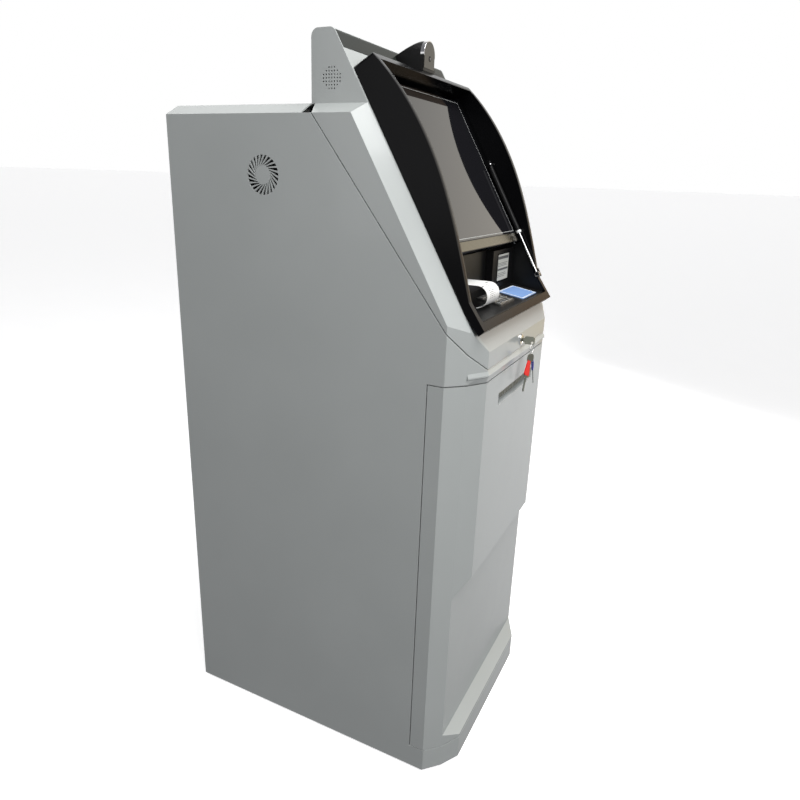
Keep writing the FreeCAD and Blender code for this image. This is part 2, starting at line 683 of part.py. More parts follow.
def keypad():
    plate = box(-KEYPAD_W / 2, KEYPAD_W / 2, KEYPAD_Y, KEYPAD_Y + KEYPAD_D, -12, PLATE_H)
    for index in range(KEY_COLS * KEY_ROWS):
        x, y = key_place(index)
        s = KEY_SLIP
        plate = plate.cut(box(x - KEY_W / 2 - s, x + KEY_W / 2 + s,
                              y - KEY_D / 2 - s, y + KEY_D / 2 + s, -6, 20))
    add("keypad_plate", on_floor(plate))
    for index in range(KEY_COLS * KEY_ROWS):
        x, y = key_place(index)
        cap = box(x - KEY_W / 2, x + KEY_W / 2, y - KEY_D / 2, y + KEY_D / 2, KEY_LOW, KEY_TOP)
        tops = [e for e in cap.Edges if all(abs(v.Z - KEY_TOP) < 0.01 for v in e.Vertexes)]
        add("keypad_key_%02d" % (index + 1), on_floor(cap.makeFillet(0.9, tops)))


READER_X = (-222.0, -150.0)
READER_Z = (1196.0, 1236.0)
PRINTER_X = (-142.0, -58.0)
SLOT_Z = floor_z(DEEP_BACK) + 39.6
PAPER_W = 80.0
PAPER_T = 0.4
CURL_R = 24.0
CURL_OUT = 64.0             # curl centre in front of the tray's back wall
ROLL_R = 38.0
ROLL_BORE_R = 6.5
SPINDLE_R = 6.4


def reader_and_printer():
    x0, x1 = READER_X
    z0, z1 = READER_Z
    back = DEEP_BACK
    block = box(x0 + CLEAR, x1 - CLEAR, back, back + 95, z0 + CLEAR, z1 - CLEAR)
    nose = box(x0 + 6, x1 - 6, back - 22, back, z0 + 8, z1 - 8)
    edges = [e for e in nose.Edges if all(abs(v.Y - back + 22) < 0.01 for v in e.Vertexes)]
    nose = nose.makeFillet(6.0, edges)
    slot = box(x0 + 9, x1 - 9, back - 30, back + 70, (z0 + z1) / 2 - 1.2, (z0 + z1) / 2 + 1.2)
    add("card_reader", block.fuse(nose).cut(slot))

    mid = (PRINTER_X[0] + PRINTER_X[1]) / 2
    roll_y = back + 62
    case_z0 = SLOT_Z - 55
    case = box(PRINTER_X[0], PRINTER_X[1], back + TRAY_T, back + 112, case_z0, SLOT_Z + 45)
    case = case.cut(box(PRINTER_X[0] + 1, PRINTER_X[1] - 1, back + 20, back + 104, case_z0 + 4, SLOT_Z + 60))
    lip = box(PRINTER_X[0], PRINTER_X[1], back - 3, back + TRAY_T, SLOT_Z - 7, SLOT_Z + 7)
    case = case.fuse(lip)
    feed_half = PAPER_W / 2 + 0.8
    feed = box(mid - feed_half, mid + feed_half, back - 10, back + 30, SLOT_Z - 1, SLOT_Z + 1)
    spindle_w = PRINTER_X[1] - PRINTER_X[0] - 1
    spindle = rod(SPINDLE_R, (PRINTER_X[0] + 0.5, roll_y, SLOT_Z - 5), (1, 0, 0), spindle_w)
    add("receipt_printer", case.cut(feed).fuse(spindle))
    half = PAPER_W / 2
    roll = tube(ROLL_R, ROLL_BORE_R, (mid - half, roll_y, SLOT_Z - 5), (1, 0, 0), PAPER_W)
    add("paper_roll", roll)

    bend_y = back - CURL_OUT
    centre_z = SLOT_Z - CURL_R
    strip = box(mid - half, mid + half, bend_y, back + 14, SLOT_Z - PAPER_T / 2, SLOT_Z + PAPER_T / 2)
    curl_at = (mid - half, bend_y, centre_z)
    ring = tube(CURL_R + PAPER_T / 2, CURL_R - PAPER_T / 2, curl_at, (1, 0, 0), PAPER_W)
    tail = box(mid - half - 1, mid + half + 1, bend_y, bend_y + 40, centre_z - 40, centre_z + 40)
    add("receipt_paper", strip.fuse(ring.cut(tail)))


# ---------------------------------------------------------------- lock and key in the lid nose
LOCK_FACE_R = 13.0
PLUG_R = 7.0
KEY_T = 2.2
BOW_LENGTH = 24.0
BOW_HEIGHT = 19.0
RING_R = 14.0
RING_WIRE_R = 0.8
RING_HOLE_R = 3.4


def lock():
    at = LOCK_Z
    body = rod(LOCK_FACE_R, (LOCK_X, -2.5, at), (0, 1, 0), 2.5)
    body = body.fuse(rod(LOCK_BORE_R - 0.2, (LOCK_X, 0, at), (0, 1, 0), 22))
    add("lock_barrel", body.cut(rod(PLUG_R + 0.06, (LOCK_X, -3, at), (0, 1, 0), 26)))
    plug = rod(PLUG_R, (LOCK_X, -3, at), (0, 1, 0), 27)
    cam = box(LOCK_X - 8, LOCK_X + 34, 24, 27, at - 7, at + 7)
    blade = box(LOCK_X - KEY_T / 2, LOCK_X + KEY_T / 2, -10, 2, at - 4, at + 4)
    bow = box(LOCK_X - KEY_T / 2, LOCK_X + KEY_T / 2, -10 - BOW_LENGTH, -9,
              at - BOW_HEIGHT / 2, at + BOW_HEIGHT / 2)
    corners = [e for e in bow.Edges if abs(e.Vertexes[0].X - e.Vertexes[1].X) > 1]
    bow = bow.makeFillet(5.0, corners)
    hole = rod(RING_HOLE_R, (LOCK_X - 5, RING_AT[1], RING_AT[2]), (1, 0, 0), 10)
    add("lock_key", plug.fuse(cam).fuse(blade).fuse(bow).cut(hole))
    ring = Part.makeTorus(RING_R, RING_WIRE_R, V(RING_AT[0], RING_AT[1], RING_AT[2] - RING_R), V(0, 1, 0))
    add("key_ring", ring)


RING_AT = (LOCK_X, -10 - BOW_LENGTH + 5.5, LOCK_Z - BOW_HEIGHT / 2 + 5.0)


# ---------------------------------------------------------------- camera on the head
CAM_X = 12.0
CAM_LENGTH = 76.0
CAM_BASE_Z = 1640.0
CAM_FRONT_Y = (CAM_BASE_Z - KINK_Z) * tan(rad(TILT_DEG)) - 54.2
CAM_R = 29.0
CAM_TOP_Z = 1703.0
CAM_REAR_Z = 1668.0
LENS_R = 7.0


def camera():
    """Round-topped camera housing behind the top edge of the bezel, its roof falling to the rear."""
    front, rear = CAM_FRONT_Y, CAM_FRONT_Y + CAM_LENGTH
    crown = CAM_TOP_Z - CAM_R
    body = box(CAM_X - CAM_R, CAM_X + CAM_R, front, rear, CAM_BASE_Z, crown)
    body = body.fuse(rod(CAM_R, (CAM_X, front, crown), (0, 1, 0), CAM_LENGTH))
    roof = side_prism([(front + 14, CAM_TOP_Z + 0.5), (rear + 1, CAM_REAR_Z), (rear + 1, CAM_TOP_Z + 20),
                       (front + 14, CAM_TOP_Z + 20)], CAM_X - 60, CAM_X + 60)
    hump_x = CAM_X + 88.0
    hump = rod(24.0, (hump_x - 24, front + 24, CAM_BASE_Z + 4), (0, 1, 0), CAM_LENGTH - 30)
    hump = hump.fuse(box(CAM_X, hump_x + 20, front + 24, rear - 6, CAM_BASE_Z - 10, CAM_BASE_Z + 10))
    body = body.cut(roof).fuse(hump)
    clear = side_prism(lid_profile(-0.3), -HALF, HALF)
    bezel_zone = tilted_box(-HALF, HALF, 0, BEZEL_TOP + 0.3, -50, 200)
    body = body.cut(clear.common(header_block(0))).cut(bezel_zone)
    foot = side_prism([tilted(BEZEL_TOP + 0.3, 2), tilted(BEZEL_TOP + 0.3, 46), tilted(BEZEL_TOP + 8, 46),
                       tilted(BEZEL_TOP + 8, 2)], CAM_X - CAM_R, hump_x)
    body = body.fuse(foot)
    eye = rod(LENS_R, (CAM_X + 2, front - 1, CAM_TOP_Z - 36), (0, 1, 0), 12)
    add("camera_housing", max(body.cut(eye).Solids, key=lambda solid: solid.Volume))


# ---------------------------------------------------------------- rear door
REAR_GAP = 1.5
REAR_Z0 = 60.0
REAR_Z1 = 1500.0
REAR_HALF = 262.0
REAR_HINGE_Z = (220.0, 780.0, 1340.0)
REAR_AXIS = (REAR_HALF + REAR_GAP, DEPTH + HINGE_R)
LOUVRES = 9
LOUVRE_Z0 = 1180.0
LOUVRE_PITCH = 20.0
LOUVRE_H = 7.0
LOUVRE_HALF = 90.0


def rear_side():
    """Rear sheet with a hinged service door in it."""
    frame = SHELL.common(box(SHEET - HALF, HALF - SHEET, DEPTH - SHEET, DEPTH, FOOT_H, ROOF_Z))
    hole = box(-REAR_HALF - REAR_GAP, REAR_HALF + REAR_GAP, DEPTH - 50, DEPTH + 1,
               REAR_Z0 - REAR_GAP, REAR_Z1 + REAR_GAP)
    frame = frame.cut(hole)
    inlet_hole = box(INLET_X - 16, INLET_X + 16, DEPTH - 50, DEPTH + 1, INLET_Z - 13, INLET_Z + 13)
    axis_x, axis_y = REAR_AXIS
    fixed = []
    door = box(-REAR_HALF, REAR_HALF, DEPTH - SHEET, DEPTH, REAR_Z0, REAR_Z1)
    door = door.fuse(box(-REAR_HALF, 6 - REAR_HALF, DEPTH - 20, DEPTH - SHEET, REAR_Z0 + 30, REAR_Z1 - 30))
    for i in range(LOUVRES):
        z = LOUVRE_Z0 + i * LOUVRE_PITCH
        door = door.cut(box(-LOUVRE_HALF, LOUVRE_HALF, DEPTH - SHEET - 1, DEPTH + 1, z, z + LOUVRE_H))
    for z in REAR_HINGE_Z:
        upper = rod(HINGE_R, (axis_x, axis_y, z), (0, 0, 1), KNUCKLE)
        upper = upper.fuse(box(axis_x - LEAF, axis_x, DEPTH, DEPTH + LEAF_T, z, z + KNUCKLE))
        upper = upper.cut(rod(HINGE_PIN_R + HINGE_SLIP, (axis_x, axis_y, z - 1), (0, 0, 1), KNUCKLE - 3))
        door = door.fuse(upper)
        low = z - KNUCKLE - 0.5
        lower = rod(HINGE_R, (axis_x, axis_y, low), (0, 0, 1), KNUCKLE)
        lower = lower.fuse(box(axis_x, axis_x + LEAF, DEPTH, DEPTH + LEAF_T, low, low + KNUCKLE))
        lower = lower.fuse(rod(HINGE_PIN_R, (axis_x, axis_y, low), (0, 0, 1), KNUCKLE * 2 - 6))
        fixed.append(lower)
    for lower in fixed:
        frame = frame.fuse(lower)
    add("rear_frame", frame.cut(inlet_hole))
    grip = rod(11.0, (-REAR_HALF + 40, DEPTH, 800), (0, 1, 0), 3)
    add("rear_door", door.fuse(grip))


INLET_X = 0.0
INLET_Z = 38.0


def inlet():
    body = box(INLET_X - 15.5, INLET_X + 15.5, DEPTH - 24, DEPTH + 1.5, INLET_Z - 12.5, INLET_Z + 12.5)
    body = body.cut(box(INLET_X - 12, INLET_X + 12, DEPTH - 16, DEPTH + 3, INLET_Z - 8, INLET_Z + 8))
    for dx in (-7, 0, 7):
        x = INLET_X + dx
        body = body.fuse(box(x - 1, x + 1, DEPTH - 17, DEPTH - 3, INLET_Z - 2, INLET_Z + 2))
    add("power_inlet", body)


# ---------------------------------------------------------------- safe, note cassette, computer
SAFE_WALL = 8.0
SAFE_X = 225.0
SAFE_Y0 = 150.0
SAFE_Y1 = 600.0
SAFE_Z0 = 20.0
SAFE_Z1 = 860.0
SAFE_DOOR_T = 14.0
SAFE_HINGE_Z = (180.0, 700.0)
SAFE_KNUCKLE_R = 6.0
SAFE_PIN_R = 4.0
SAFE_AXIS = (SAFE_X + 6.0, SAFE_Y0 - SAFE_DOOR_T - 6.0)
CASSETTE_SIZE = (230.0, 380.0, 130.0)
CASSETTE_Z = 300.0
RUNNER_T = 3.0
COMPUTER_SIZE = (170.0, 300.0, 590.0, 100.0)


def safe():
    floor = FOOT_H + BASE_T
    body = box(-SAFE_X, SAFE_X, SAFE_Y0, SAFE_Y1, floor, SAFE_Z1)
    w = SAFE_WALL
    body = body.cut(box(w - SAFE_X, SAFE_X - w, SAFE_Y0 - 1, SAFE_Y1 - w, SAFE_Z0, SAFE_Z1 - w))
    cw, cd, ch = CASSETTE_SIZE
    shelf = box(w - SAFE_X, SAFE_X - w, SAFE_Y0 + 30, SAFE_Y1 - w, CASSETTE_Z - RUNNER_T, CASSETTE_Z)
    body = body.fuse(shelf)
    ax, ay = SAFE_AXIS
    knuckles = []
    for z in SAFE_HINGE_Z:
        low = box(SAFE_X - 1, SAFE_X + 12, ay - 6, SAFE_Y0 + 30, z - 26, z - 0.5)
        low = low.cut(box(-SAFE_X, SAFE_X, 0, SAFE_Y0, z - 30, z + 30))
        pin = rod(SAFE_PIN_R, (ax, ay, z - 26), (0, 0, 1), 48)
        knuckles.append(low.fuse(rod(SAFE_KNUCKLE_R, (ax, ay, z - 26), (0, 0, 1), 25.5)).fuse(pin))
    for knuckle in knuckles:
        body = body.fuse(knuckle)
    add("safe_body", body)
    door = box(-SAFE_X, SAFE_X - 1.0, SAFE_Y0 - SAFE_DOOR_T - 0.5, SAFE_Y0 - 0.5, floor + 4, SAFE_Z1)
    for z in SAFE_HINGE_Z:
        door = door.cut(box(SAFE_X - 14, SAFE_X, 0, SAFE_Y0, z - 27, z + 26))
        knuckle = rod(SAFE_KNUCKLE_R, (ax, ay, z), (0, 0, 1), 25)
        arm = box(SAFE_X - 18, ax, ay - 5.5, ay + 6, z, z + 25)
        knuckle = knuckle.fuse(arm).cut(rod(SAFE_PIN_R + 0.06, (ax, ay, z - 1), (0, 0, 1), 30))
        door = door.fuse(knuckle)
    door = door.fuse(rod(9.0, (-150, SAFE_Y0 - SAFE_DOOR_T - 14, 500), (0, 1, 0), 14))
    add("safe_door", door)
    case = box(-cw / 2, cw / 2, SAFE_Y0 + 40, SAFE_Y0 + 40 + cd, CASSETTE_Z, CASSETTE_Z + ch)
    case = case.cut(box(4 - cw / 2, cw / 2 - 4, SAFE_Y0 + 60, SAFE_Y0 + 36 + cd,
                        CASSETTE_Z + 4, CASSETTE_Z + ch + 1))
    grip = box(-60, 60, SAFE_Y0 + 32, SAFE_Y0 + 40, CASSETTE_Z + 50, CASSETTE_Z + 80)
    grip = grip.cut(box(-48, 48, SAFE_Y0 + 30, SAFE_Y0 + 36, CASSETTE_Z + 56, CASSETTE_Z + 74))
    add("note_cassette", case.fuse(grip))


def computer():
    half, front, rear, height = COMPUTER_SIZE
    add("control_computer", box(-half, half, front, rear, SAFE_Z1, SAFE_Z1 + height))


# ---------------------------------------------------------------- fan behind the left vent
FAN_SIZE = 80.0
FAN_T = 25.0
FAN_BLADES = 7


def fan():
    x0 = SHEET - HALF
    half = FAN_SIZE / 2
    frame = box(x0, x0 + FAN_T, VENT_Y - half, VENT_Y + half, VENT_Z - half, VENT_Z + half)
    frame = frame.cut(rod(half - 2, (x0 - 1, VENT_Y, VENT_Z), (1, 0, 0), FAN_T + 2))
    bridge = box(x0 + FAN_T - 3, x0 + FAN_T, VENT_Y - half + 1, VENT_Y + half - 1, VENT_Z - 4, VENT_Z + 4)
    pin = rod(2.0, (x0 + 6, VENT_Y, VENT_Z), (1, 0, 0), FAN_T - 6)
    add("fan_frame", frame.fuse(bridge).fuse(pin))
    rotor = tube(15.0, 2.06, (x0 + 5, VENT_Y, VENT_Z), (1, 0, 0), 15)
    for i in range(FAN_BLADES):
        blade = box(x0 + 8, x0 + 10, -6, 6, 14, half - 3.5)
        blade.rotate(V(x0 + 9, 0, 25), V(0, 0, 1), 35)
        blade.rotate(V(0, 0, 0), V(1, 0, 0), i * 360 / FAN_BLADES)
        blade.translate(V(0, VENT_Y, VENT_Z))
        rotor = rotor.fuse(blade)
    add("fan_rotor", rotor)


# ---------------------------------------------------------------- lid hinge on the roof
LID_HINGE_R = 5.0
LID_AXIS = (HEADER_REAR + GAP / 2, ROOF_Z + LID_HINGE_R)
LID_HINGE_X = (-180.0, 140.0)
LID_KNUCKLE = 40.0


def lid_hinge():
    """Two butt hinges across the roof behind the header."""
    ay, az = LID_AXIS[0] + LID_HINGE_R, LID_AXIS[1]
    moving = []
    roof = nodes["roof_panel"]
    for x in LID_HINGE_X:
        knuckle = rod(LID_HINGE_R, (x, ay, az), (1, 0, 0), LID_KNUCKLE)
        leaf = box(x, x + LID_KNUCKLE, HEADER_REAR, HEADER_REAR + 2.0, az, az + 34)
        knuckle = knuckle.fuse(leaf).cut(rod(2.05, (x - 1, ay, az), (1, 0, 0), LID_KNUCKLE - 4))
        moving.append(knuckle)
        left = x - LID_KNUCKLE - 0.5
        base_leaf = box(left, left + LID_KNUCKLE, ay, ay + 34, ROOF_Z, ROOF_Z + 2)
        roof = roof.fuse(rod(LID_HINGE_R, (left, ay, az), (1, 0, 0), LID_KNUCKLE)).fuse(base_leaf)
        roof = roof.fuse(rod(2.0, (left, ay, az), (1, 0, 0), LID_KNUCKLE * 2 - 6))
    add("lid_hinge_leaves", *moving)
    add("roof_panel", roof)


# ---------------------------------------------------------------- build and export
for build in (cabinet_panels, base, frame, front_door, door_hinges, head_lid, bezel, screen, screen_strut,
              recess, keypad, reader_and_printer, lock, camera, rear_side, inlet, safe, computer, fan,
              lid_hinge):
    build()

os.makedirs("parts", exist_ok=True)
for name, shape in nodes.items():
    moved = shape.copy()
    moved.translate(V(0, -DEPTH / 2, 0))
    moved.exportStep("parts/%s.step" % name)
    box_of = moved.BoundBox
    print("%-26s solids %2d valid %s  x %7.1f %7.1f  y %7.1f %7.1f  z %7.1f %7.1f" % (
        name, len(moved.Solids), moved.isValid(), box_of.XMin, box_of.XMax,
        box_of.YMin, box_of.YMax, box_of.ZMin, box_of.ZMax))
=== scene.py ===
import json
import math
import random

import bmesh
import bpy
from mathutils import Matrix, Vector


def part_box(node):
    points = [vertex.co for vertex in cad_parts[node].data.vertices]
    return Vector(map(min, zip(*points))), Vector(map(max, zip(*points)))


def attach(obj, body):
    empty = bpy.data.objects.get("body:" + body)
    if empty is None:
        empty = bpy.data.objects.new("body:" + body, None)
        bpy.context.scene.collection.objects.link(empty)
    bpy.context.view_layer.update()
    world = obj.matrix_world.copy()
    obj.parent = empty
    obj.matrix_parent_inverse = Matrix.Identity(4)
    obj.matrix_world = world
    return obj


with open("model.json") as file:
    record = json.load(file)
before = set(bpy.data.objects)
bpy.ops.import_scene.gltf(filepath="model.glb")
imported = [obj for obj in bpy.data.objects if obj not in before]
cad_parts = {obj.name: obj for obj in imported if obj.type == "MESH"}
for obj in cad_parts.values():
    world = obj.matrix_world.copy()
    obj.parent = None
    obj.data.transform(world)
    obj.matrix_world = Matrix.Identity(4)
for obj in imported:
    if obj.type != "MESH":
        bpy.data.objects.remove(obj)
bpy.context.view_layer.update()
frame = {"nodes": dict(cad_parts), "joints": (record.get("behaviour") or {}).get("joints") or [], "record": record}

nodes = frame["nodes"]
joints = {joint["name"]: joint for joint in frame["joints"]}

# ---------------------------------------------------------------- material helpers
def new_material(name, color, roughness, metallic=0.0):
    material = bpy.data.materials.new(name)
    material.use_nodes = True
    shader = material.node_tree.nodes["Principled BSDF"]
    shader.inputs["Base Color"].default_value = (*color, 1)
    shader.inputs["Roughness"].default_value = roughness
    shader.inputs["Metallic"].default_value = metallic
    return material, shader


def link(material, source, target):
    material.node_tree.links.new(source, target)


def noise(material, scale, detail=3.0, stretch=(1, 1, 1)):
    """A noise in object space; a stretch of 1, 40, 40 draws fine lines along X."""
    tree = material.node_tree
    place = tree.nodes.new("ShaderNodeTexCoord")
    mapping = tree.nodes.new("ShaderNodeMapping")
    mapping.inputs["Scale"].default_value = stretch
    texture = tree.nodes.new("ShaderNodeTexNoise")
    texture.inputs["Scale"].default_value = scale
    texture.inputs["Detail"].default_value = detail
    link(material, place.outputs["Object"], mapping.inputs["Vector"])
    link(material, mapping.outputs["Vector"], texture.inputs["Vector"])
    return texture.outputs["Fac"]


def remap(material, value, low, high):
    """A 0 to 1 value spread over low to high."""
    node = material.node_tree.nodes.new("ShaderNodeMapRange")
    node.inputs["To Min"].default_value = low
    node.inputs["To Max"].default_value = high
    link(material, value, node.inputs["Value"])
    return node.outputs["Result"]


def tint(material, value, dark, light):
    """A colour between dark and light, picked by a 0 to 1 value."""
    ramp = material.node_tree.nodes.new("ShaderNodeValToRGB")
    ramp.color_ramp.elements[0].color = (*dark, 1)
    ramp.color_ramp.elements[0].position = 0.3
    ramp.color_ramp.elements[1].color = (*light, 1)
    ramp.color_ramp.elements[1].position = 0.7
    link(material, value, ramp.inputs["Fac"])
    return ramp.outputs["Color"]


def bump(material, shader, value, strength, distance):
    node = material.node_tree.nodes.new("ShaderNodeBump")
    node.inputs["Strength"].default_value = strength
    node.inputs["Distance"].default_value = distance
    link(material, value, node.inputs["Height"])
    link(material, node.outputs["Normal"], shader.inputs["Normal"])


def shade(color, factor):
    return tuple(channel * factor for channel in color)


def coated(name, color, roughness, grain=420.0, relief=0.10, spread=0.04, metallic=0.0, coat=0.0,
           gloss=0.5):
    """Painted, moulded or cast surface: slight colour drift, uneven gloss and a fine skin."""
    material, shader = new_material(name, color, roughness, metallic)
    drift = noise(material, 3.5)
    skin = noise(material, grain, 2.0)
    color_drift = tint(material, drift, shade(color, 0.965), shade(color, 1.02))
    link(material, color_drift, shader.inputs["Base Color"])
    uneven = remap(material, noise(material, 14.0), roughness - spread, roughness + spread)
    link(material, uneven, shader.inputs["Roughness"])
    bump(material, shader, skin, relief, 0.0004)
    shader.inputs["Coat Weight"].default_value = coat
    shader.inputs["Coat Roughness"].default_value = 0.08
    shader.inputs["Specular IOR Level"].default_value = gloss
    return material


def brushed(name, color, roughness, stretch):
    """Bare metal with fine brush lines along the axis that isn't stretched."""
    material, shader = new_material(name, color, roughness, 1.0)
    lines = noise(material, 260.0, 2.0, stretch)
    link(material, tint(material, lines, shade(color, 0.86), color), shader.inputs["Base Color"])
    link(material, remap(material, lines, roughness - 0.06, roughness + 0.08), shader.inputs["Roughness"])
    bump(material, shader, lines, 0.12, 0.0002)
    return material


ALONG_X = (1, 40, 40)
ALONG_X_FINE = (1, 60, 60)
white = coated("white_powder_coat", (0.43, 0.452, 0.442), 0.24, grain=520.0, relief=0.06, coat=0.35)
black = coated("black_gloss", (0.002, 0.002, 0.0024), 0.22, grain=300.0, relief=0.03, spread=0.03,
               gloss=0.16)
black_matte = coated("black_textured", (0.005, 0.005, 0.0052), 0.36, grain=900.0, relief=0.25,
                     gloss=0.25)
header_dark = coated("header_dark", (0.016, 0.019, 0.016), 0.30, grain=300.0, relief=0.04, gloss=0.25)
rubber = coated("foot_rubber", (0.012, 0.012, 0.012), 0.7, grain=600.0, relief=0.3)
safe_grey = coated("safe_paint", (0.09, 0.10, 0.11), 0.45, grain=700.0, relief=0.35)
zinc = coated("zinc_plate", (0.52, 0.53, 0.54), 0.35, metallic=1.0, relief=0.05)
chrome = coated("chrome", (0.80, 0.80, 0.81), 0.09, metallic=1.0, relief=0.02, spread=0.03)
keycap = brushed("brushed_keys", (0.55, 0.55, 0.54), 0.28, ALONG_X)
plate_steel = brushed("brushed_plate", (0.42, 0.42, 0.41), 0.30, ALONG_X)
strip_bronze = brushed("screen_lip_metal", (0.20, 0.18, 0.13), 0.22, ALONG_X_FINE)
pale_plastic = coated("pale_plastic", (0.62, 0.62, 0.56), 0.3, relief=0.08)
key_silver = coated("key_nickel", (0.50, 0.50, 0.42), 0.28, metallic=1.0, relief=0.06)
key_brass = coated("key_brass", (0.75, 0.52, 0.22), 0.3, metallic=1.0, relief=0.06)
red = coated("red_key_cover", (0.75, 0.02, 0.02), 0.3, relief=0.05)
blue = coated("blue_key_cover", (0.03, 0.04, 0.35), 0.3, relief=0.05)
key_steel = coated("key_steel", (0.22, 0.24, 0.23), 0.35, metallic=0.8, relief=0.08)
screen_line = coated("screen_line", (0.42, 0.43, 0.42), 0.3, relief=0.04)
pad_rim = coated("pad_rim", (0.72, 0.78, 0.84), 0.3, relief=0.05)
camera_face = coated("camera_face", (0.085, 0.082, 0.074), 0.32, metallic=0.6, relief=0.06)
print_grey = coated("print_grey", (0.10, 0.10, 0.10), 0.5, relief=0.1)
black_satin = coated("black_satin", (0.010, 0.010, 0.010), 0.4, grain=700.0, relief=0.2)
olive = coated("comb_olive", (0.075, 0.075, 0.045), 0.4, relief=0.1)
collar_white = coated("strut_collar", (0.72, 0.73, 0.72), 0.18, relief=0.04, coat=0.4)
lens = coated("lens_coating", (0.012, 0.012, 0.03), 0.05, relief=0.01, spread=0.02, coat=0.8)


def screen_glass_material():
    """Switched-off display behind polished glass: almost black, with a mirror-like face."""
    material, shader = new_material("screen_glass", (0.010, 0.010, 0.012), 0.03)
    link(material, remap(material, noise(material, 9.0), 0.015, 0.05), shader.inputs["Roughness"])
    bump(material, shader, noise(material, 2.2, 1.0), 0.02, 0.002)
    shader.inputs["IOR"].default_value = 1.9
    return material


def pad_material():
    """Lit pad: even pale blue with a fine sensor grid."""
    material, shader = new_material("lit_pad", (0.10, 0.20, 0.45), 0.2)
    glow = noise(material, 12.0)
    color = tint(material, glow, (0.13, 0.22, 0.42), (0.17, 0.27, 0.48))
    link(material, color, shader.inputs["Base Color"])
    link(material, color, shader.inputs["Emission Color"])
    shader.inputs["Emission Strength"].default_value = 0.75
    bump(material, shader, noise(material, 700.0), 0.04, 0.0003)
    return material


def paper_material():
    """Thermal paper: soft white with faint fibres."""
    material, shader = new_material("thermal_paper", (0.86, 0.86, 0.84), 0.55)
    fibres = noise(material, 240.0, 4.0)
    fibre_color = tint(material, fibres, (0.82, 0.82, 0.80), (0.90, 0.90, 0.88))
    link(material, fibre_color, shader.inputs["Base Color"])
    link(material, remap(material, fibres, 0.5, 0.62), shader.inputs["Roughness"])
    bump(material, shader, fibres, 0.15, 0.0002)
    return material


SLOT_MATERIAL = {
    "white": white, "black": black, "black_matte": black_matte, "glass": screen_glass_material(),
    "steel": keycap, "chrome": chrome, "zinc": zinc, "header_dark": header_dark,
    "pad": pad_material(), "paper": paper_material(), "reader": pale_plastic, "rubber": rubber,
    "safe_grey": safe_grey,
}
NODE_MATERIAL = {"keypad_plate": plate_steel, "lock_key": key_silver, "display_module": safe_grey}


def paint_cad_nodes():
    """Each CAD node gets the material of its slot in the record, or its own."""
    slots = {entry["node"]: entry["material_slot"] for entry in frame["record"]["subparts"]}
    for name, obj in nodes.items():
        material = NODE_MATERIAL.get(name, SLOT_MATERIAL[slots[name]])
        for holder in obj.material_slots:
            holder.material = material
        if not obj.material_slots:
            obj.data.materials.append(material)


# bend radius of each folded or moulded piece, in metres
FOLDED = {
    "front_door": 0.0016, "head_shell": 0.0016, "screen_bezel": 0.0014, "front_cross_rail": 0.0012,
    "front_plinth": 0.0012, "header_box": 0.0010, "roof_panel": 0.0010, "camera_housing": 0.0010,
    "safe_body": 0.0010, "side_panel_left": 0.0008, "side_panel_right": 0.0008, "rear_door": 0.0008,
    "scanner_module": 0.0008, "monitor_frame": 0.0008, "recess_tray": 0.0006, "outlet_chute": 0.0005,
}
WELD_GAP = 0.00001
BEND_ANGLE = math.radians(12)      # edges flatter than this stay sharp


def soften_edges():
    """Small bend radii on folded sheet and moulded covers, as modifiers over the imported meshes."""
    for name, width in FOLDED.items():
        obj = nodes[name]
        weld = obj.modifiers.new("weld", "WELD")
        weld.merge_threshold = WELD_GAP
        bevel = obj.modifiers.new("fold", "BEVEL")
        bevel.width = width
        bevel.segments = 2
        bevel.limit_method = "ANGLE"
        bevel.angle_limit = BEND_ANGLE
        bevel.use_clamp_overlap = True


# ---------------------------------------------------------------- mesh helpers
SHARP = 0.6            # radians between faces above which an outline's edge is softened
SHARP_RIM = 1.0        # the same for the rim of a disc


def add_object(name, mesh, material, smooth=False):
    """An object in the scene around a mesh, with one material."""
    mesh.materials.clear()
    mesh.materials.append(material)
    if smooth:
        mesh.polygons.foreach_set("use_smooth", [True] * len(mesh.polygons))
    obj = bpy.data.objects.new(name, mesh)
    bpy.context.collection.objects.link(obj)
    return obj


def mesh_object(name, vertices, faces, material):
    mesh = bpy.data.meshes.new(name)
    mesh.from_pydata([tuple(v) for v in vertices], [], faces)
    mesh.validate()
    return add_object(name, mesh, material)


def from_bmesh(name, bm, material, smooth=False):
    mesh = bpy.data.meshes.new(name)
    bmesh.ops.recalc_face_normals(bm, faces=bm.faces)
    bm.to_mesh(mesh)
    bm.free()
    return add_object(name, mesh, material, smooth)


def soften(bm, rim, sharp):
    """Bevel the edges whose faces turn by more than sharp, in radians."""
    edges = [e for e in bm.edges if len(e.link_faces) == 2 and e.calc_face_angle(0) > sharp]
    bmesh.ops.bevel(bm, geom=edges, offset=rim, segments=2, affect="EDGES")


def disc(name, centre, normal, radius, depth, material, segments=32, rim=0.0004):
    """A short round piece with a softened rim; centre is the middle of its outer face."""
    bm = bmesh.new()
    bmesh.ops.create_cone(bm, cap_ends=True, segments=segments, radius1=radius, radius2=radius,
                          depth=depth)
    soften(bm, rim, SHARP_RIM)
    normal = Vector(normal).normalized()
    turn = Vector((0, 0, 1)).rotation_difference(normal).to_matrix().to_4x4()
    place = Matrix.Translation(Vector(centre) - normal * depth / 2) @ turn
    bmesh.ops.transform(bm, matrix=place, verts=bm.verts)
    return from_bmesh(name, bm, material)


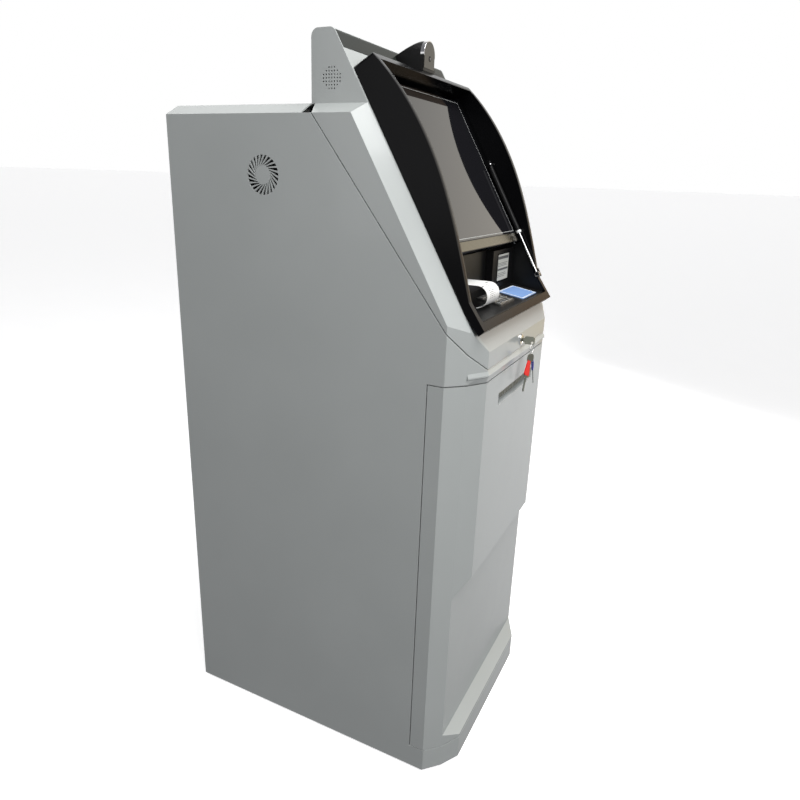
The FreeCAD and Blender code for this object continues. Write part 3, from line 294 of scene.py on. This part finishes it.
def extruded(name, outline, origin, depth, material, rim=0.0003):
    """An outline in x and z, in millimetres, made thick towards the user, with softened edges."""
    towards_user = Vector((0, -1, 0))
    bm = bmesh.new()
    ring = [bm.verts.new(Vector(origin) + Vector((x, 0, z)) / 1000) for x, z in outline]
    grown = bmesh.ops.extrude_face_region(bm, geom=[bm.faces.new(ring)])
    moved = [g for g in grown["geom"] if isinstance(g, bmesh.types.BMVert)]
    bmesh.ops.translate(bm, vec=towards_user * depth, verts=moved)
    soften(bm, rim, SHARP)
    return from_bmesh(name, bm, material)


def turned(name, profile, place, material, steps, smooth=False):
    """A thin open shell: each (radius, station) of the profile is turned about the axis of place."""
    bm = bmesh.new()
    for radius, station in profile:
        for i in range(steps):
            angle = 2 * math.pi * i / steps
            bm.verts.new(place(radius * math.cos(angle), radius * math.sin(angle), station))
    bm.verts.ensure_lookup_table()
    for ring in range(len(profile) - 1):
        for i in range(steps):
            a, b = ring * steps + i, ring * steps + (i + 1) % steps
            bm.faces.new([bm.verts[a], bm.verts[b], bm.verts[b + steps], bm.verts[a + steps]])
    return from_bmesh(name, bm, material, smooth)


def round_rect(width, height, radius, steps=5):
    """Outline of a rectangle with round corners about the origin."""
    right, high = width / 2 - radius, height / 2 - radius
    points = []
    for cx, cy, start in ((right, high, 0), (-right, high, 90), (-right, -high, 180), (right, -high, 270)):
        for i in range(steps + 1):
            angle = math.radians(start + 90 * i / steps)
            points.append((cx + radius * math.cos(angle), cy + radius * math.sin(angle)))
    return points


# ---------------------------------------------------------------- places on the machine, in millimetres
# The slides move along the fascia and square to the shelf, so their axes give both slopes.
_, SLIDE_Y, SLIDE_Z = joints["strut_stroke"]["axis"]
_, PRESS_Y, PRESS_Z = joints["press_01"]["axis"]
TILT = math.atan2(SLIDE_Y, SLIDE_Z)
SHELF_TILT = math.atan2(PRESS_Y, -PRESS_Z)
OUT_FASCIA = Vector((0, -math.cos(TILT), math.sin(TILT)))
FRONT_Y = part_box("front_cross_rail")[0][1] * 1000
KINK_Z = 1075.0                       # the fascia starts here, in the plane of the front
SHELF_FRONT = (24.99, 1139.0)         # y from the front and z of the shelf's front edge
TOWARDS_USER, TO_THE_REAR, TO_THE_RIGHT = (0, -1, 0), (0, 1, 0), (1, 0, 0)


def spot(x, y, z):
    """x, y behind the front plane and z up, to metres in the shared frame."""
    return Vector((x / 1000, (y + FRONT_Y) / 1000, z / 1000))


def fascia(x, along, out):
    """x, along the sloping fascia from its foot, and out from it."""
    y = along * math.sin(TILT) - out * math.cos(TILT)
    return spot(x, y, KINK_Z + along * math.cos(TILT) + out * math.sin(TILT))


def on_shelf(x, y, z):
    """x, y along the shelf from its front edge, and z square to it."""
    front, low = SHELF_FRONT
    turn_y = y * math.cos(SHELF_TILT) - z * math.sin(SHELF_TILT)
    turn_z = y * math.sin(SHELF_TILT) + z * math.cos(SHELF_TILT)
    return spot(x, front + turn_y, low + turn_z)


def block(name, place, xs, second, third, material, rim=0.0002):
    """A box between two values of each of a place's three coordinates."""
    bm = bmesh.new()
    verts = [bm.verts.new(place(x, a, b)) for x in xs for a in second for b in third]
    for quad in ((0, 1, 3, 2), (4, 6, 7, 5), (0, 4, 5, 1), (2, 3, 7, 6), (0, 2, 6, 4), (1, 5, 7, 3)):
        bm.faces.new([verts[i] for i in quad])
    bmesh.ops.recalc_face_normals(bm, faces=bm.faces)
    if rim:
        bmesh.ops.bevel(bm, geom=list(bm.edges), offset=rim, segments=1, affect="EDGES")
    return from_bmesh(name, bm, material)


def border(xs, ys, width, trim_x=0.0, trim_y=0.0):
    """The strips of a rectangular border: two across, less trim_x, and two upright, less trim_y."""
    (left, right), (low, high) = xs, ys
    across, upright = (left + trim_x, right - trim_x), (low + trim_y, high - trim_y)
    return ((across, (low, low + width)), (across, (high - width, high)),
            ((left, left + width), upright), ((right - width, right), upright))


def joined(name, objects, body):
    """Merge small pieces of one name into one object that rides a body."""
    bpy.ops.object.select_all(action="DESELECT")
    for obj in objects:
        obj.select_set(True)
    bpy.context.view_layer.objects.active = objects[0]
    bpy.ops.object.join()
    merged = bpy.context.view_layer.objects.active
    merged.name = name
    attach(merged, body)


# ---------------------------------------------------------------- screen and shelf details
GLASS_OUT = 16.9                                   # face of the screen, out from the fascia
LINE_TOP, LIP_TOP, SCREW_TOP = 17.15, 17.5, 17.6
LINE_X, LINE_ALONG, LINE_WIDTH = (-214.0, 214.0), (239.0, 593.0), 1.2
LIP_X, LIP_ALONG = (-217.5, 217.5), (212.5, 233.0)
LIP_SCREW_X, LIP_SCREW_ALONG = (-211, 211), 223


def screen_details():
    line = [block("edge", fascia, xs, along, (GLASS_OUT, LINE_TOP), screen_line, 0)
            for xs, along in border(LINE_X, LINE_ALONG, LINE_WIDTH)]
    joined("screen_edge_line", line, "monitor")
    lip = block("screen_lip_cover", fascia, LIP_X, LIP_ALONG, (GLASS_OUT, LIP_TOP), strip_bronze)
    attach(lip, "monitor")
    screws = [disc("screw", fascia(x, LIP_SCREW_ALONG, SCREW_TOP), OUT_FASCIA, radius=0.0028,
                   depth=0.0012, material=chrome) for x in LIP_SCREW_X]
    joined("screen_lip_screws", screws, "monitor")


PAD_RIM_X, PAD_RIM_Y, PAD_RIM_Z, PAD_RIM_WIDTH = (90.5, 203.5), (2.5, 67.5), (1.4, 2.0), 3.5
# scanner window: frame around it, and bars as (foot and top above its lower edge, length)
FRAME_MARGIN, FRAME_WIDTH, FRAME_CORNER, FRAME_Y = 3.5, 3.1, 0.5, (107.2, 108.0)
BAR_MARGIN, BAR_Y = 4.0, (108.2, 108.6)
BARS = ((53, 60, 78), (42.5, 43.5, 73), (39, 40, 65), (35.5, 36.5, 69),
        (25, 30, 78), (17, 18, 61), (13, 14, 67), (9, 10, 55))
# lips above and below the paper slot
SLOT_X, SLOT_Y, SLOT_LIPS_Z, SLOT_LIP_TALL = (-146, -54), (126.4, 127.9), (1184.5, 1204.5), 3.0


def shelf_details():
    rim = [block("rim", on_shelf, xs, ys, PAD_RIM_Z, pad_rim)
           for xs, ys in border(PAD_RIM_X, PAD_RIM_Y, PAD_RIM_WIDTH, trim_y=PAD_RIM_WIDTH)]
    joined("pad_rim", rim, "head_lid")
    low, high = (Vector(corner) * 1000 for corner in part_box("scanner_window"))
    start = low.x + BAR_MARGIN
    bars = [block("bar", spot, (start, start + length), BAR_Y, (low.z + foot, low.z + top), print_grey, 0)
            for foot, top, length in BARS]
    joined("window_bars", bars, "head_lid")
    outer = [(low[axis] - FRAME_MARGIN, high[axis] + FRAME_MARGIN) for axis in (0, 2)]
    window = [block("frame", spot, xs, FRAME_Y, zs, black)
              for xs, zs in border(*outer, FRAME_WIDTH, trim_x=FRAME_CORNER)]
    joined("window_frame", window, "head_lid")
    surround = [block("surround", spot, SLOT_X, SLOT_Y, (z, z + SLOT_LIP_TALL), black_satin)
                for z in SLOT_LIPS_Z]
    joined("slot_surround", surround, "head_lid")


DIGIT_ROWS = ((3, "123"), (2, "456"), (1, "789"), (0, " 0"))       # row 0 is nearest the user
DIGIT_SIZE, DIGIT_THICK = 0.0075, 0.00006
KEY_PITCH_X, KEY_PITCH_Y, KEYPAD_MIDDLE_Y, KEY_TOP = 23.0, 14.5, 43.0, 5.53
KEYS_PER_ROW = 4


def key_digits():
    """Generic figures 0 to 9; the right-hand column and the keys beside the 0 stay plain."""
    turn = Matrix.Rotation(SHELF_TILT, 4, "X")
    for row, figures in DIGIT_ROWS:
        for column, figure in enumerate(figures):
            if figure == " ":
                continue
            curve = bpy.data.curves.new("digit", "FONT")
            curve.body = figure
            curve.size = DIGIT_SIZE
            curve.extrude = DIGIT_THICK
            curve.align_x = "CENTER"
            curve.align_y = "CENTER"
            holder = bpy.data.objects.new("digit", curve)
            mesh = bpy.data.meshes.new_from_object(holder)
            bpy.data.objects.remove(holder)
            x = (column - 1.5) * KEY_PITCH_X
            y = KEYPAD_MIDDLE_Y + (row - 1.5) * KEY_PITCH_Y
            mesh.transform(Matrix.Translation(on_shelf(x, y, KEY_TOP)) @ turn)
            number = row * KEYS_PER_ROW + column + 1
            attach(add_object("digit_%02d" % number, mesh, print_grey), "key_%02d" % number)


CURL_Y, CURL_Z, CURL_R = 64.0, 1172.02, 24.2       # axis and outer radius of the receipt's curl
PRINT_LIFT = 0.06
PRINT_ROWS, FIRST_ROW, ROW_TURN = 9, 0.30, 0.17    # turns in radians from the top of the curl
PRINT_LEFT, PRINT_RIGHT, RAGGED = -121.0, -86.0, 12
DASH_LONG, DASH_GAP, DASH_TALL = (3, 9), (1.5, 4), 1.1
BLACK_BARS = ((-139.5, -128, 0.35), (-92, -76, -0.05))
BLACK_BAR_TALL = 3.0


def receipt_print():
    """Short grey dashes in rows over the curl, as a till prints them, and two black bars."""
    chance = random.Random(7)
    verts, faces = [], []

    def patch(x0, x1, angle, tall):
        start, end = len(verts), angle + tall / CURL_R
        r = CURL_R + PRINT_LIFT
        for x, turn in ((x0, angle), (x1, angle), (x1, end), (x0, end)):
            verts.append(spot(x, CURL_Y - r * math.sin(turn), CURL_Z + r * math.cos(turn)))
        faces.append(tuple(range(start, start + 4)))

    for row in range(PRINT_ROWS):
        x = PRINT_LEFT
        end = PRINT_RIGHT - chance.uniform(0, RAGGED)
        while x < end:
            length = chance.uniform(*DASH_LONG)
            patch(x, min(x + length, end), FIRST_ROW + row * ROW_TURN, DASH_TALL)
            x += length + chance.uniform(*DASH_GAP)
    for x0, x1, angle in BLACK_BARS:
        patch(x0, x1, angle, BLACK_BAR_TALL)
    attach(mesh_object("receipt_print", verts, faces, print_grey), "head_lid")


# ---------------------------------------------------------------- outlet, rail, lock and hanging keys
BACK_X, BACK_Y, BACK_Z = (-128.5, 128.5), (3.2, 3.6), (946.0, 960.6)
TOOTH_COUNT, TOOTH_PITCH, TOOTH_HALF, TOOTH_Y, TOOTH_Z = 20, 12.0, 3.6, (0.5, 1.1), (948.2, 958.4)
COMB_BAR_X, COMB_BAR_Y, COMB_BAR_Z = (-128.8, 128.8), (0.6, 1.1), (958.2, 960.9)


def outlet_details():
    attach(block("outlet_back", spot, BACK_X, BACK_Y, BACK_Z, black_satin), "front_door")
    comb = []
    for i in range(TOOTH_COUNT):
        x = (i - (TOOTH_COUNT - 1) / 2) * TOOTH_PITCH
        comb.append(block("tooth", spot, (x - TOOTH_HALF, x + TOOTH_HALF), TOOTH_Y, TOOTH_Z, olive))
    comb.append(block("bar", spot, COMB_BAR_X, COMB_BAR_Y, COMB_BAR_Z, olive))
    joined("outlet_comb", comb, "front_door")


LIP_PATH = ((-264.0, 28.0), (-217.0, 0.0), (217.0, 0.0), (264.0, 28.0))        # x, y along the rail
LIP_SECTION = ((0.05, 1020.0), (3.6, 1022.5), (3.9, 1025.5), (0.05, 1033.5))   # out, z


def rail_lip():
    """Sloping lip along the top of the fixed rail, under the lid, mitred at the rail's corners."""
    path = [Vector(point) for point in LIP_PATH]
    legs = [(after - before).normalized() for before, after in zip(path, path[1:])]
    normals = [Vector((leg.y, -leg.x)) for leg in legs]
    bm = bmesh.new()
    rings = []
    for index, point in enumerate(path):
        beside = normals[max(index - 1, 0):index + 1]
        mitre = sum(beside, Vector((0, 0))).normalized()
        reach = mitre / mitre.dot(beside[0])
        corners = [(point + reach * out, z) for out, z in LIP_SECTION]
        rings.append([bm.verts.new(spot(place.x, place.y, z)) for place, z in corners])
    count = len(LIP_SECTION)
    for ring, following in zip(rings, rings[1:]):
        for i in range(count):
            j = (i + 1) % count
            bm.faces.new([ring[i], ring[j], following[j], following[i]])
    bm.faces.new(rings[0])
    bm.faces.new(rings[-1][::-1])
    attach(from_bmesh("rail_lip", bm, white), "cabinet")


LOCK_X, _, LOCK_Z = (value * 1000 for value in joints["key_turn"]["pos_m"])
LOCK_RING = ((12.4, -2.5), (12.4, -3.1), (11.2, -3.1), (11.2, -2.5))            # radius, y


def lock_details():
    ring = turned("lock_ring", LOCK_RING, lambda a, b, y: spot(LOCK_X + a, y, LOCK_Z + b), chrome, 48)
    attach(ring, "head_lid")


RING_BELOW_PIVOT = 0.0273        # inside foot of the key ring below its pivot, in metres


def hanging(offset, turn, lean):
    """Frame of a key hung on the ring at an x offset: turned about itself, then leaning sideways."""
    x, y, z = joints["ring_swing"]["pos_m"]
    place = Matrix.Translation((x + offset / 1000, y, z - RING_BELOW_PIVOT))
    lean_and_turn = Matrix.Rotation(math.radians(lean), 4, "Y") @ Matrix.Rotation(math.radians(turn), 4, "Z")
    return place @ lean_and_turn


def flat_key(name, place, parts):
    """Parts of a key: (outline in x and z, rear face y, thickness, material), in millimetres."""
    for index, (outline, low, thick, material) in enumerate(parts):
        piece = extruded("%s_%d" % (name, index), outline, (0, low / 1000, 0), -thick / 1000, material)
        piece.data.transform(place)
        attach(piece, "key_ring")


def blade(width, top, length, notch=1.6, steps=7):
    """Outline of a key blade with a cut edge on one side."""
    half, tip = width / 2, top - length
    points = [(-half, top), (-half, tip + width * 0.4), (0, tip), (half, tip + width * 0.4)]
    for i in range(steps):
        points.append((half - (notch if i % 2 else 0.2), tip + width * 0.5 + length * 0.62 * i / steps))
    return points + [(half, top)]


def loop(name, place, width, height, drop, bar, thick, material, corner=6.0):
    """Open rounded loop between an outer and an inner outline, its middle a drop below the origin."""
    outer = round_rect(width, height, corner)
    inner = round_rect(width - 2 * bar, height - 2 * bar, corner - bar * 0.7)
    count = len(outer)
    verts = [place @ (Vector((x, y, z - drop)) / 1000) for y in (-thick / 2, thick / 2)
             for x, z in outer + inner]
    faces = []
    for i in range(count):
        j = (i + 1) % count
        faces.append((i, j, count + j, count + i))
        faces.append((2 * count + j, 2 * count + i, 3 * count + i, 3 * count + j))
        faces.append((i, 2 * count + i, 2 * count + j, j))
        faces.append((count + j, 3 * count + j, 3 * count + i, count + i))
    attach(mesh_object(name, verts, faces, material), "key_ring")


SILVER_BOW = [(x, z - 9.0) for x, z in round_rect(20, 21, 8)]
RED_HEAD = [(-4.5, -14), (4.5, -14), (9.5, -46), (6.5, -50), (-6.5, -50), (-9.5, -46)]


def hanging_keys():
    flat_key("spare_key", hanging(-3, turn=-30, lean=6),
             [(SILVER_BOW, -1.1, 2.2, key_silver), (blade(7.5, -18, 22), -0.8, 1.6, key_silver),
              (blade(6.5, -36, 20), -0.7, 1.4, key_brass)])
    flat_key("red_key", hanging(-7, turn=-20, lean=24),
             [(RED_HEAD, -1.6, 3.2, red), (blade(6.5, -49, 40), -0.8, 1.6, key_steel)])
    blue_place = hanging(8, turn=10, lean=-24)
    loop("blue_key_loop", blue_place, 17, 42, 27, bar=3.2, thick=3.6, material=blue)
    flat_key("blue_key", blue_place, [(blade(6.5, -46.5, 44), -0.8, 1.6, key_steel)])


# ---------------------------------------------------------------- camera, strut and rear details
ARC_R = 29.15                                      # chrome band standing in for the bright reflection on the housing's rounded front edge (a painted highlight), just outside the housing's arc
ARC_X, ARC_Z, ARC_STEPS = 12.0, 1674.0, 28
ARC_START, ARC_SWEEP = -8.0, 196.0                 # degrees from the right-hand side
BAND_INNER, FACE_OUTER = 0.935, 0.93               # shares of the band's radius
BAND_Y, BAND_DEEP, BAND_RIM = 281.0, 0.0100, 0.0006
FACE_Y, FACE_DEEP, FACE_RIM = 271.9, 0.0008, 0.0002
FACE_FOOT = ((39.0, 1646.0), (-15.0, 1646.0))
LENS_X, LENS_Z = 14.0, 1667.0
# name, y of the face, radius and depth in metres, material
LENSES = (("lens_glass", 270.6, 0.0060, 0.003, black), ("lens_core", 270.2, 0.0034, 0.001, lens))


def arc(share=1.0):
    """Points of the housing's round top in x and z, from right to left."""
    angles = [math.radians(ARC_START + ARC_SWEEP * i / ARC_STEPS) for i in range(ARC_STEPS + 1)]
    return [(ARC_X + ARC_R * share * math.cos(a), ARC_Z + ARC_R * share * math.sin(a)) for a in angles]


def camera_details():
    for name, y, radius, depth, material in LENSES:
        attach(disc(name, spot(LENS_X, y, LENS_Z), TOWARDS_USER, radius, depth, material), "head_lid")
    outline = arc() + arc(BAND_INNER)[::-1]
    # The bright chrome band is a painted highlight: it stands in for the reflection along the dark housing's
    # rounded front edge.
    band = extruded("camera_edge_highlight", outline, spot(0, BAND_Y, 0), BAND_DEEP, chrome, BAND_RIM)
    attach(band, "head_lid")
    right, left = FACE_FOOT
    outline = [right] + arc(FACE_OUTER) + [left]
    plate = extruded("camera_face", outline, spot(0, FACE_Y, 0), FACE_DEEP, camera_face, FACE_RIM)
    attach(plate, "head_lid")


STRUT_X = joints["strut_rod_pivot"]["pos_m"][0] * 1000
STRUT_OUT = 24.5                                   # axis of the strut, out from the fascia
COLLARS = ((229.0, 7.0, 7.1, collar_white), (417.0, 4.0, 7.0, chrome))   # along, length, radius
COLLAR_EDGE, COLLAR_DROP = 0.8, 0.6                # length and depth of the chamfered ends


def strut_details():
    for start, length, radius, material in COLLARS:
        end = start + length
        profile = ((radius - COLLAR_DROP, start), (radius, start + COLLAR_EDGE),
                   (radius, end - COLLAR_EDGE), (radius - COLLAR_DROP, end))
        collar = turned("collar", profile, lambda a, b, along: fascia(STRUT_X + a, along, STRUT_OUT + b),
                        material, 32, smooth=True)
        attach(collar, "strut_tube")


REAR_SCREW_X, REAR_SCREW_Z = (-281, 281), (40, 300, 560, 820, 1080, 1340, 1480)
REAR_SCREW_Y = 769.4
REAR_LOCK_X, REAR_LOCK_Y, REAR_LOCK_Z = -222.0, 771.9, 800.0
LOCK_SLOT_Y, LOCK_SLOT_HALF_X, LOCK_SLOT_HALF_Z = (771.8, 772.1), 0.7, 4.0
HINGE_FEET, HINGE_SCREWS = (180.0, 538.0, 900.0), ((86.0, 6), (86.0, 18))   # z; y and height above it
HINGE_SCREW_X = 302.6


def rear_details():
    screws = [disc("screw", spot(x, REAR_SCREW_Y, z), TO_THE_REAR, radius=0.0042, depth=0.0016,
                   material=zinc, segments=20) for x in REAR_SCREW_X for z in REAR_SCREW_Z]
    joined("rear_screws", screws, "cabinet")
    lock = disc("rear_lock", spot(REAR_LOCK_X, REAR_LOCK_Y, REAR_LOCK_Z), TO_THE_REAR, radius=0.0085,
                depth=0.0012, material=chrome)
    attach(lock, "rear_door")
    slot = block("rear_lock_slot", spot, (REAR_LOCK_X - LOCK_SLOT_HALF_X, REAR_LOCK_X + LOCK_SLOT_HALF_X),
                 LOCK_SLOT_Y, (REAR_LOCK_Z - LOCK_SLOT_HALF_Z, REAR_LOCK_Z + LOCK_SLOT_HALF_Z), black)
    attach(slot, "rear_door")
    screws = [disc("screw", spot(HINGE_SCREW_X, y, foot + height), TO_THE_RIGHT, radius=0.0024,
                   depth=0.0012, material=chrome, segments=16)
              for foot in HINGE_FEET for y, height in HINGE_SCREWS]
    joined("door_hinge_screws", screws, "front_door")


# ---------------------------------------------------------------- camera, light and floor
LENS_MM, SENSOR_MM, SHIFT = 29.39, 36.0, (-0.0027, -0.0092)
CAMERA_PLACE, CAMERA_TURN = (-1.4689, -0.8006, 1.4081), (71.884, -2.003, -63.240)

# name, place, point aimed at, size, power
AREA_LIGHTS = (("key", (-1.7, -3.0, 2.5), (0, 0, 1.0), (2.2, 2.2), 76),
               ("top", (-0.5, -1.0, 4.3), (0, 0, 1.2), (2.6, 2.6), 122),
               ("fill", (-3.8, 0.8, 2.0), (0, 0, 0.9), (2.6, 2.2), 13))

BRIGHT_WALL = math.radians(25)                     # azimuth of the room's bright side
WALL_SHADES = ((0.02, (0.20, 0.20, 0.21)), (0.5, (0.36, 0.36, 0.36)), (0.78, (1, 1, 1)))
FLOOR_SPAN, FLOOR_GLOW = 400.0, 0.55

# glowing sheets: name, centre, normal, size, colours from bottom to top, strength
CARD_MIDDLE = 0.45
CARDS = (("room_wall", (2.5, -1.62, 2.0), (-0.86, 0.48, -0.15), (4.4, 3.4),
          ((0.50, 0.40, 0.23), (0.66, 0.62, 0.55), (0.34, 0.34, 0.33)), 1.6),
         ("carton", (1.9, -0.95, 1.42), (-0.86, 0.40, 0.10), (0.62, 0.34),
          ((0.20, 0.11, 0.05), (0.42, 0.25, 0.12), (0.50, 0.33, 0.18)), 1.2))


def camera():
    data = bpy.data.cameras.new("photo_camera")
    data.lens = LENS_MM
    data.sensor_width = SENSOR_MM
    data.shift_x, data.shift_y = SHIFT
    obj = bpy.data.objects.new("photo_camera", data)
    bpy.context.collection.objects.link(obj)
    obj.location = CAMERA_PLACE
    obj.rotation_euler = tuple(math.radians(angle) for angle in CAMERA_TURN)
    bpy.context.scene.camera = obj


def area_light(name, place, aim, size, power):
    data = bpy.data.lights.new(name, "AREA")
    data.shape = "RECTANGLE"
    data.size, data.size_y = size
    data.energy = power
    obj = bpy.data.objects.new(name, data)
    bpy.context.collection.objects.link(obj)
    obj.location = place
    obj.rotation_euler = (Vector(aim) - Vector(place)).to_track_quat("-Z", "Y").to_euler()


def studio_world():
    """White on the far side of the machine and dim behind the camera, like a room with one bright wall."""
    world = bpy.data.worlds.new("studio")
    bpy.context.scene.world = world
    world.use_nodes = True
    tree = world.node_tree
    place = tree.nodes.new("ShaderNodeTexCoord")
    turn = tree.nodes.new("ShaderNodeVectorRotate")
    turn.rotation_type = "Z_AXIS"
    turn.inputs["Angle"].default_value = -BRIGHT_WALL
    split = tree.nodes.new("ShaderNodeSeparateXYZ")
    ramp = tree.nodes.new("ShaderNodeValToRGB")
    tree.links.new(place.outputs["Generated"], turn.inputs["Vector"])
    tree.links.new(turn.outputs["Vector"], split.inputs["Vector"])
    tree.links.new(split.outputs["X"], ramp.inputs["Fac"])
    (dim_at, dim), (middle_at, middle), (bright_at, bright) = WALL_SHADES
    first, last = ramp.color_ramp.elements
    first.position, first.color = dim_at, (*dim, 1)
    last.position, last.color = bright_at, (*bright, 1)
    ramp.color_ramp.elements.new(middle_at).color = (*middle, 1)
    tree.links.new(ramp.outputs["Color"], tree.nodes["Background"].inputs["Color"])
    tree.nodes["Background"].inputs["Strength"].default_value = 1.0


def card(name, centre, normal, size, shades, strength):
    """A glowing sheet beside the set, shaded from bottom to top; seen in reflections, not by the camera."""
    low, middle, high = shades
    material = bpy.data.materials.new(name)
    material.use_nodes = True
    tree = material.node_tree
    shader = tree.nodes["Principled BSDF"]
    place = tree.nodes.new("ShaderNodeTexCoord")
    split = tree.nodes.new("ShaderNodeSeparateXYZ")
    ramp = tree.nodes.new("ShaderNodeValToRGB")
    ramp.color_ramp.elements[0].color = (*low, 1)
    ramp.color_ramp.elements[1].color = (*high, 1)
    ramp.color_ramp.elements.new(CARD_MIDDLE).color = (*middle, 1)
    tree.links.new(place.outputs["Generated"], split.inputs["Vector"])
    tree.links.new(split.outputs["Z"], ramp.inputs["Fac"])
    tree.links.new(ramp.outputs["Color"], shader.inputs["Emission Color"])
    shader.inputs["Base Color"].default_value = (0.02, 0.02, 0.02, 1)
    shader.inputs["Emission Strength"].default_value = strength
    facing = Vector(normal).normalized()
    across = Vector((0, 0, 1)).cross(facing).normalized()
    upward = facing.cross(across)
    w, h = size[0] / 2, size[1] / 2
    corners = [Vector(centre) + across * x + upward * y for x, y in ((-w, -h), (w, -h), (w, h), (-w, h))]
    obj = mesh_object(name, corners, [(0, 1, 2, 3)], material)
    obj.visible_camera = False
    obj.visible_diffuse = False


def white_floor():
    material = coated("floor", (0.93, 0.93, 0.93), 0.6, grain=60.0, relief=0.03)
    shader = material.node_tree.nodes["Principled BSDF"]
    shader.inputs["Emission Color"].default_value = (1, 1, 1, 1)
    shader.inputs["Emission Strength"].default_value = FLOOR_GLOW
    corners = [(x * FLOOR_SPAN, y * FLOOR_SPAN, 0) for x, y in ((-1, -1), (1, -1), (1, 1), (-1, 1))]
    floor = mesh_object("floor", corners, [(0, 1, 2, 3)], material)
    floor.visible_diffuse = False
    floor.visible_glossy = False


def surroundings():
    studio_world()
    bpy.context.scene.view_settings.view_transform = "Standard"
    white_floor()
    for values in CARDS:
        card(*values)
    for values in AREA_LIGHTS:
        area_light(*values)


# ---------------------------------------------------------------- build
camera()
surroundings()
paint_cad_nodes()
soften_edges()
screen_details()
shelf_details()
key_digits()
receipt_print()
outlet_details()
hanging_keys()
rail_lip()
lock_details()
camera_details()
strut_details()
rear_details()
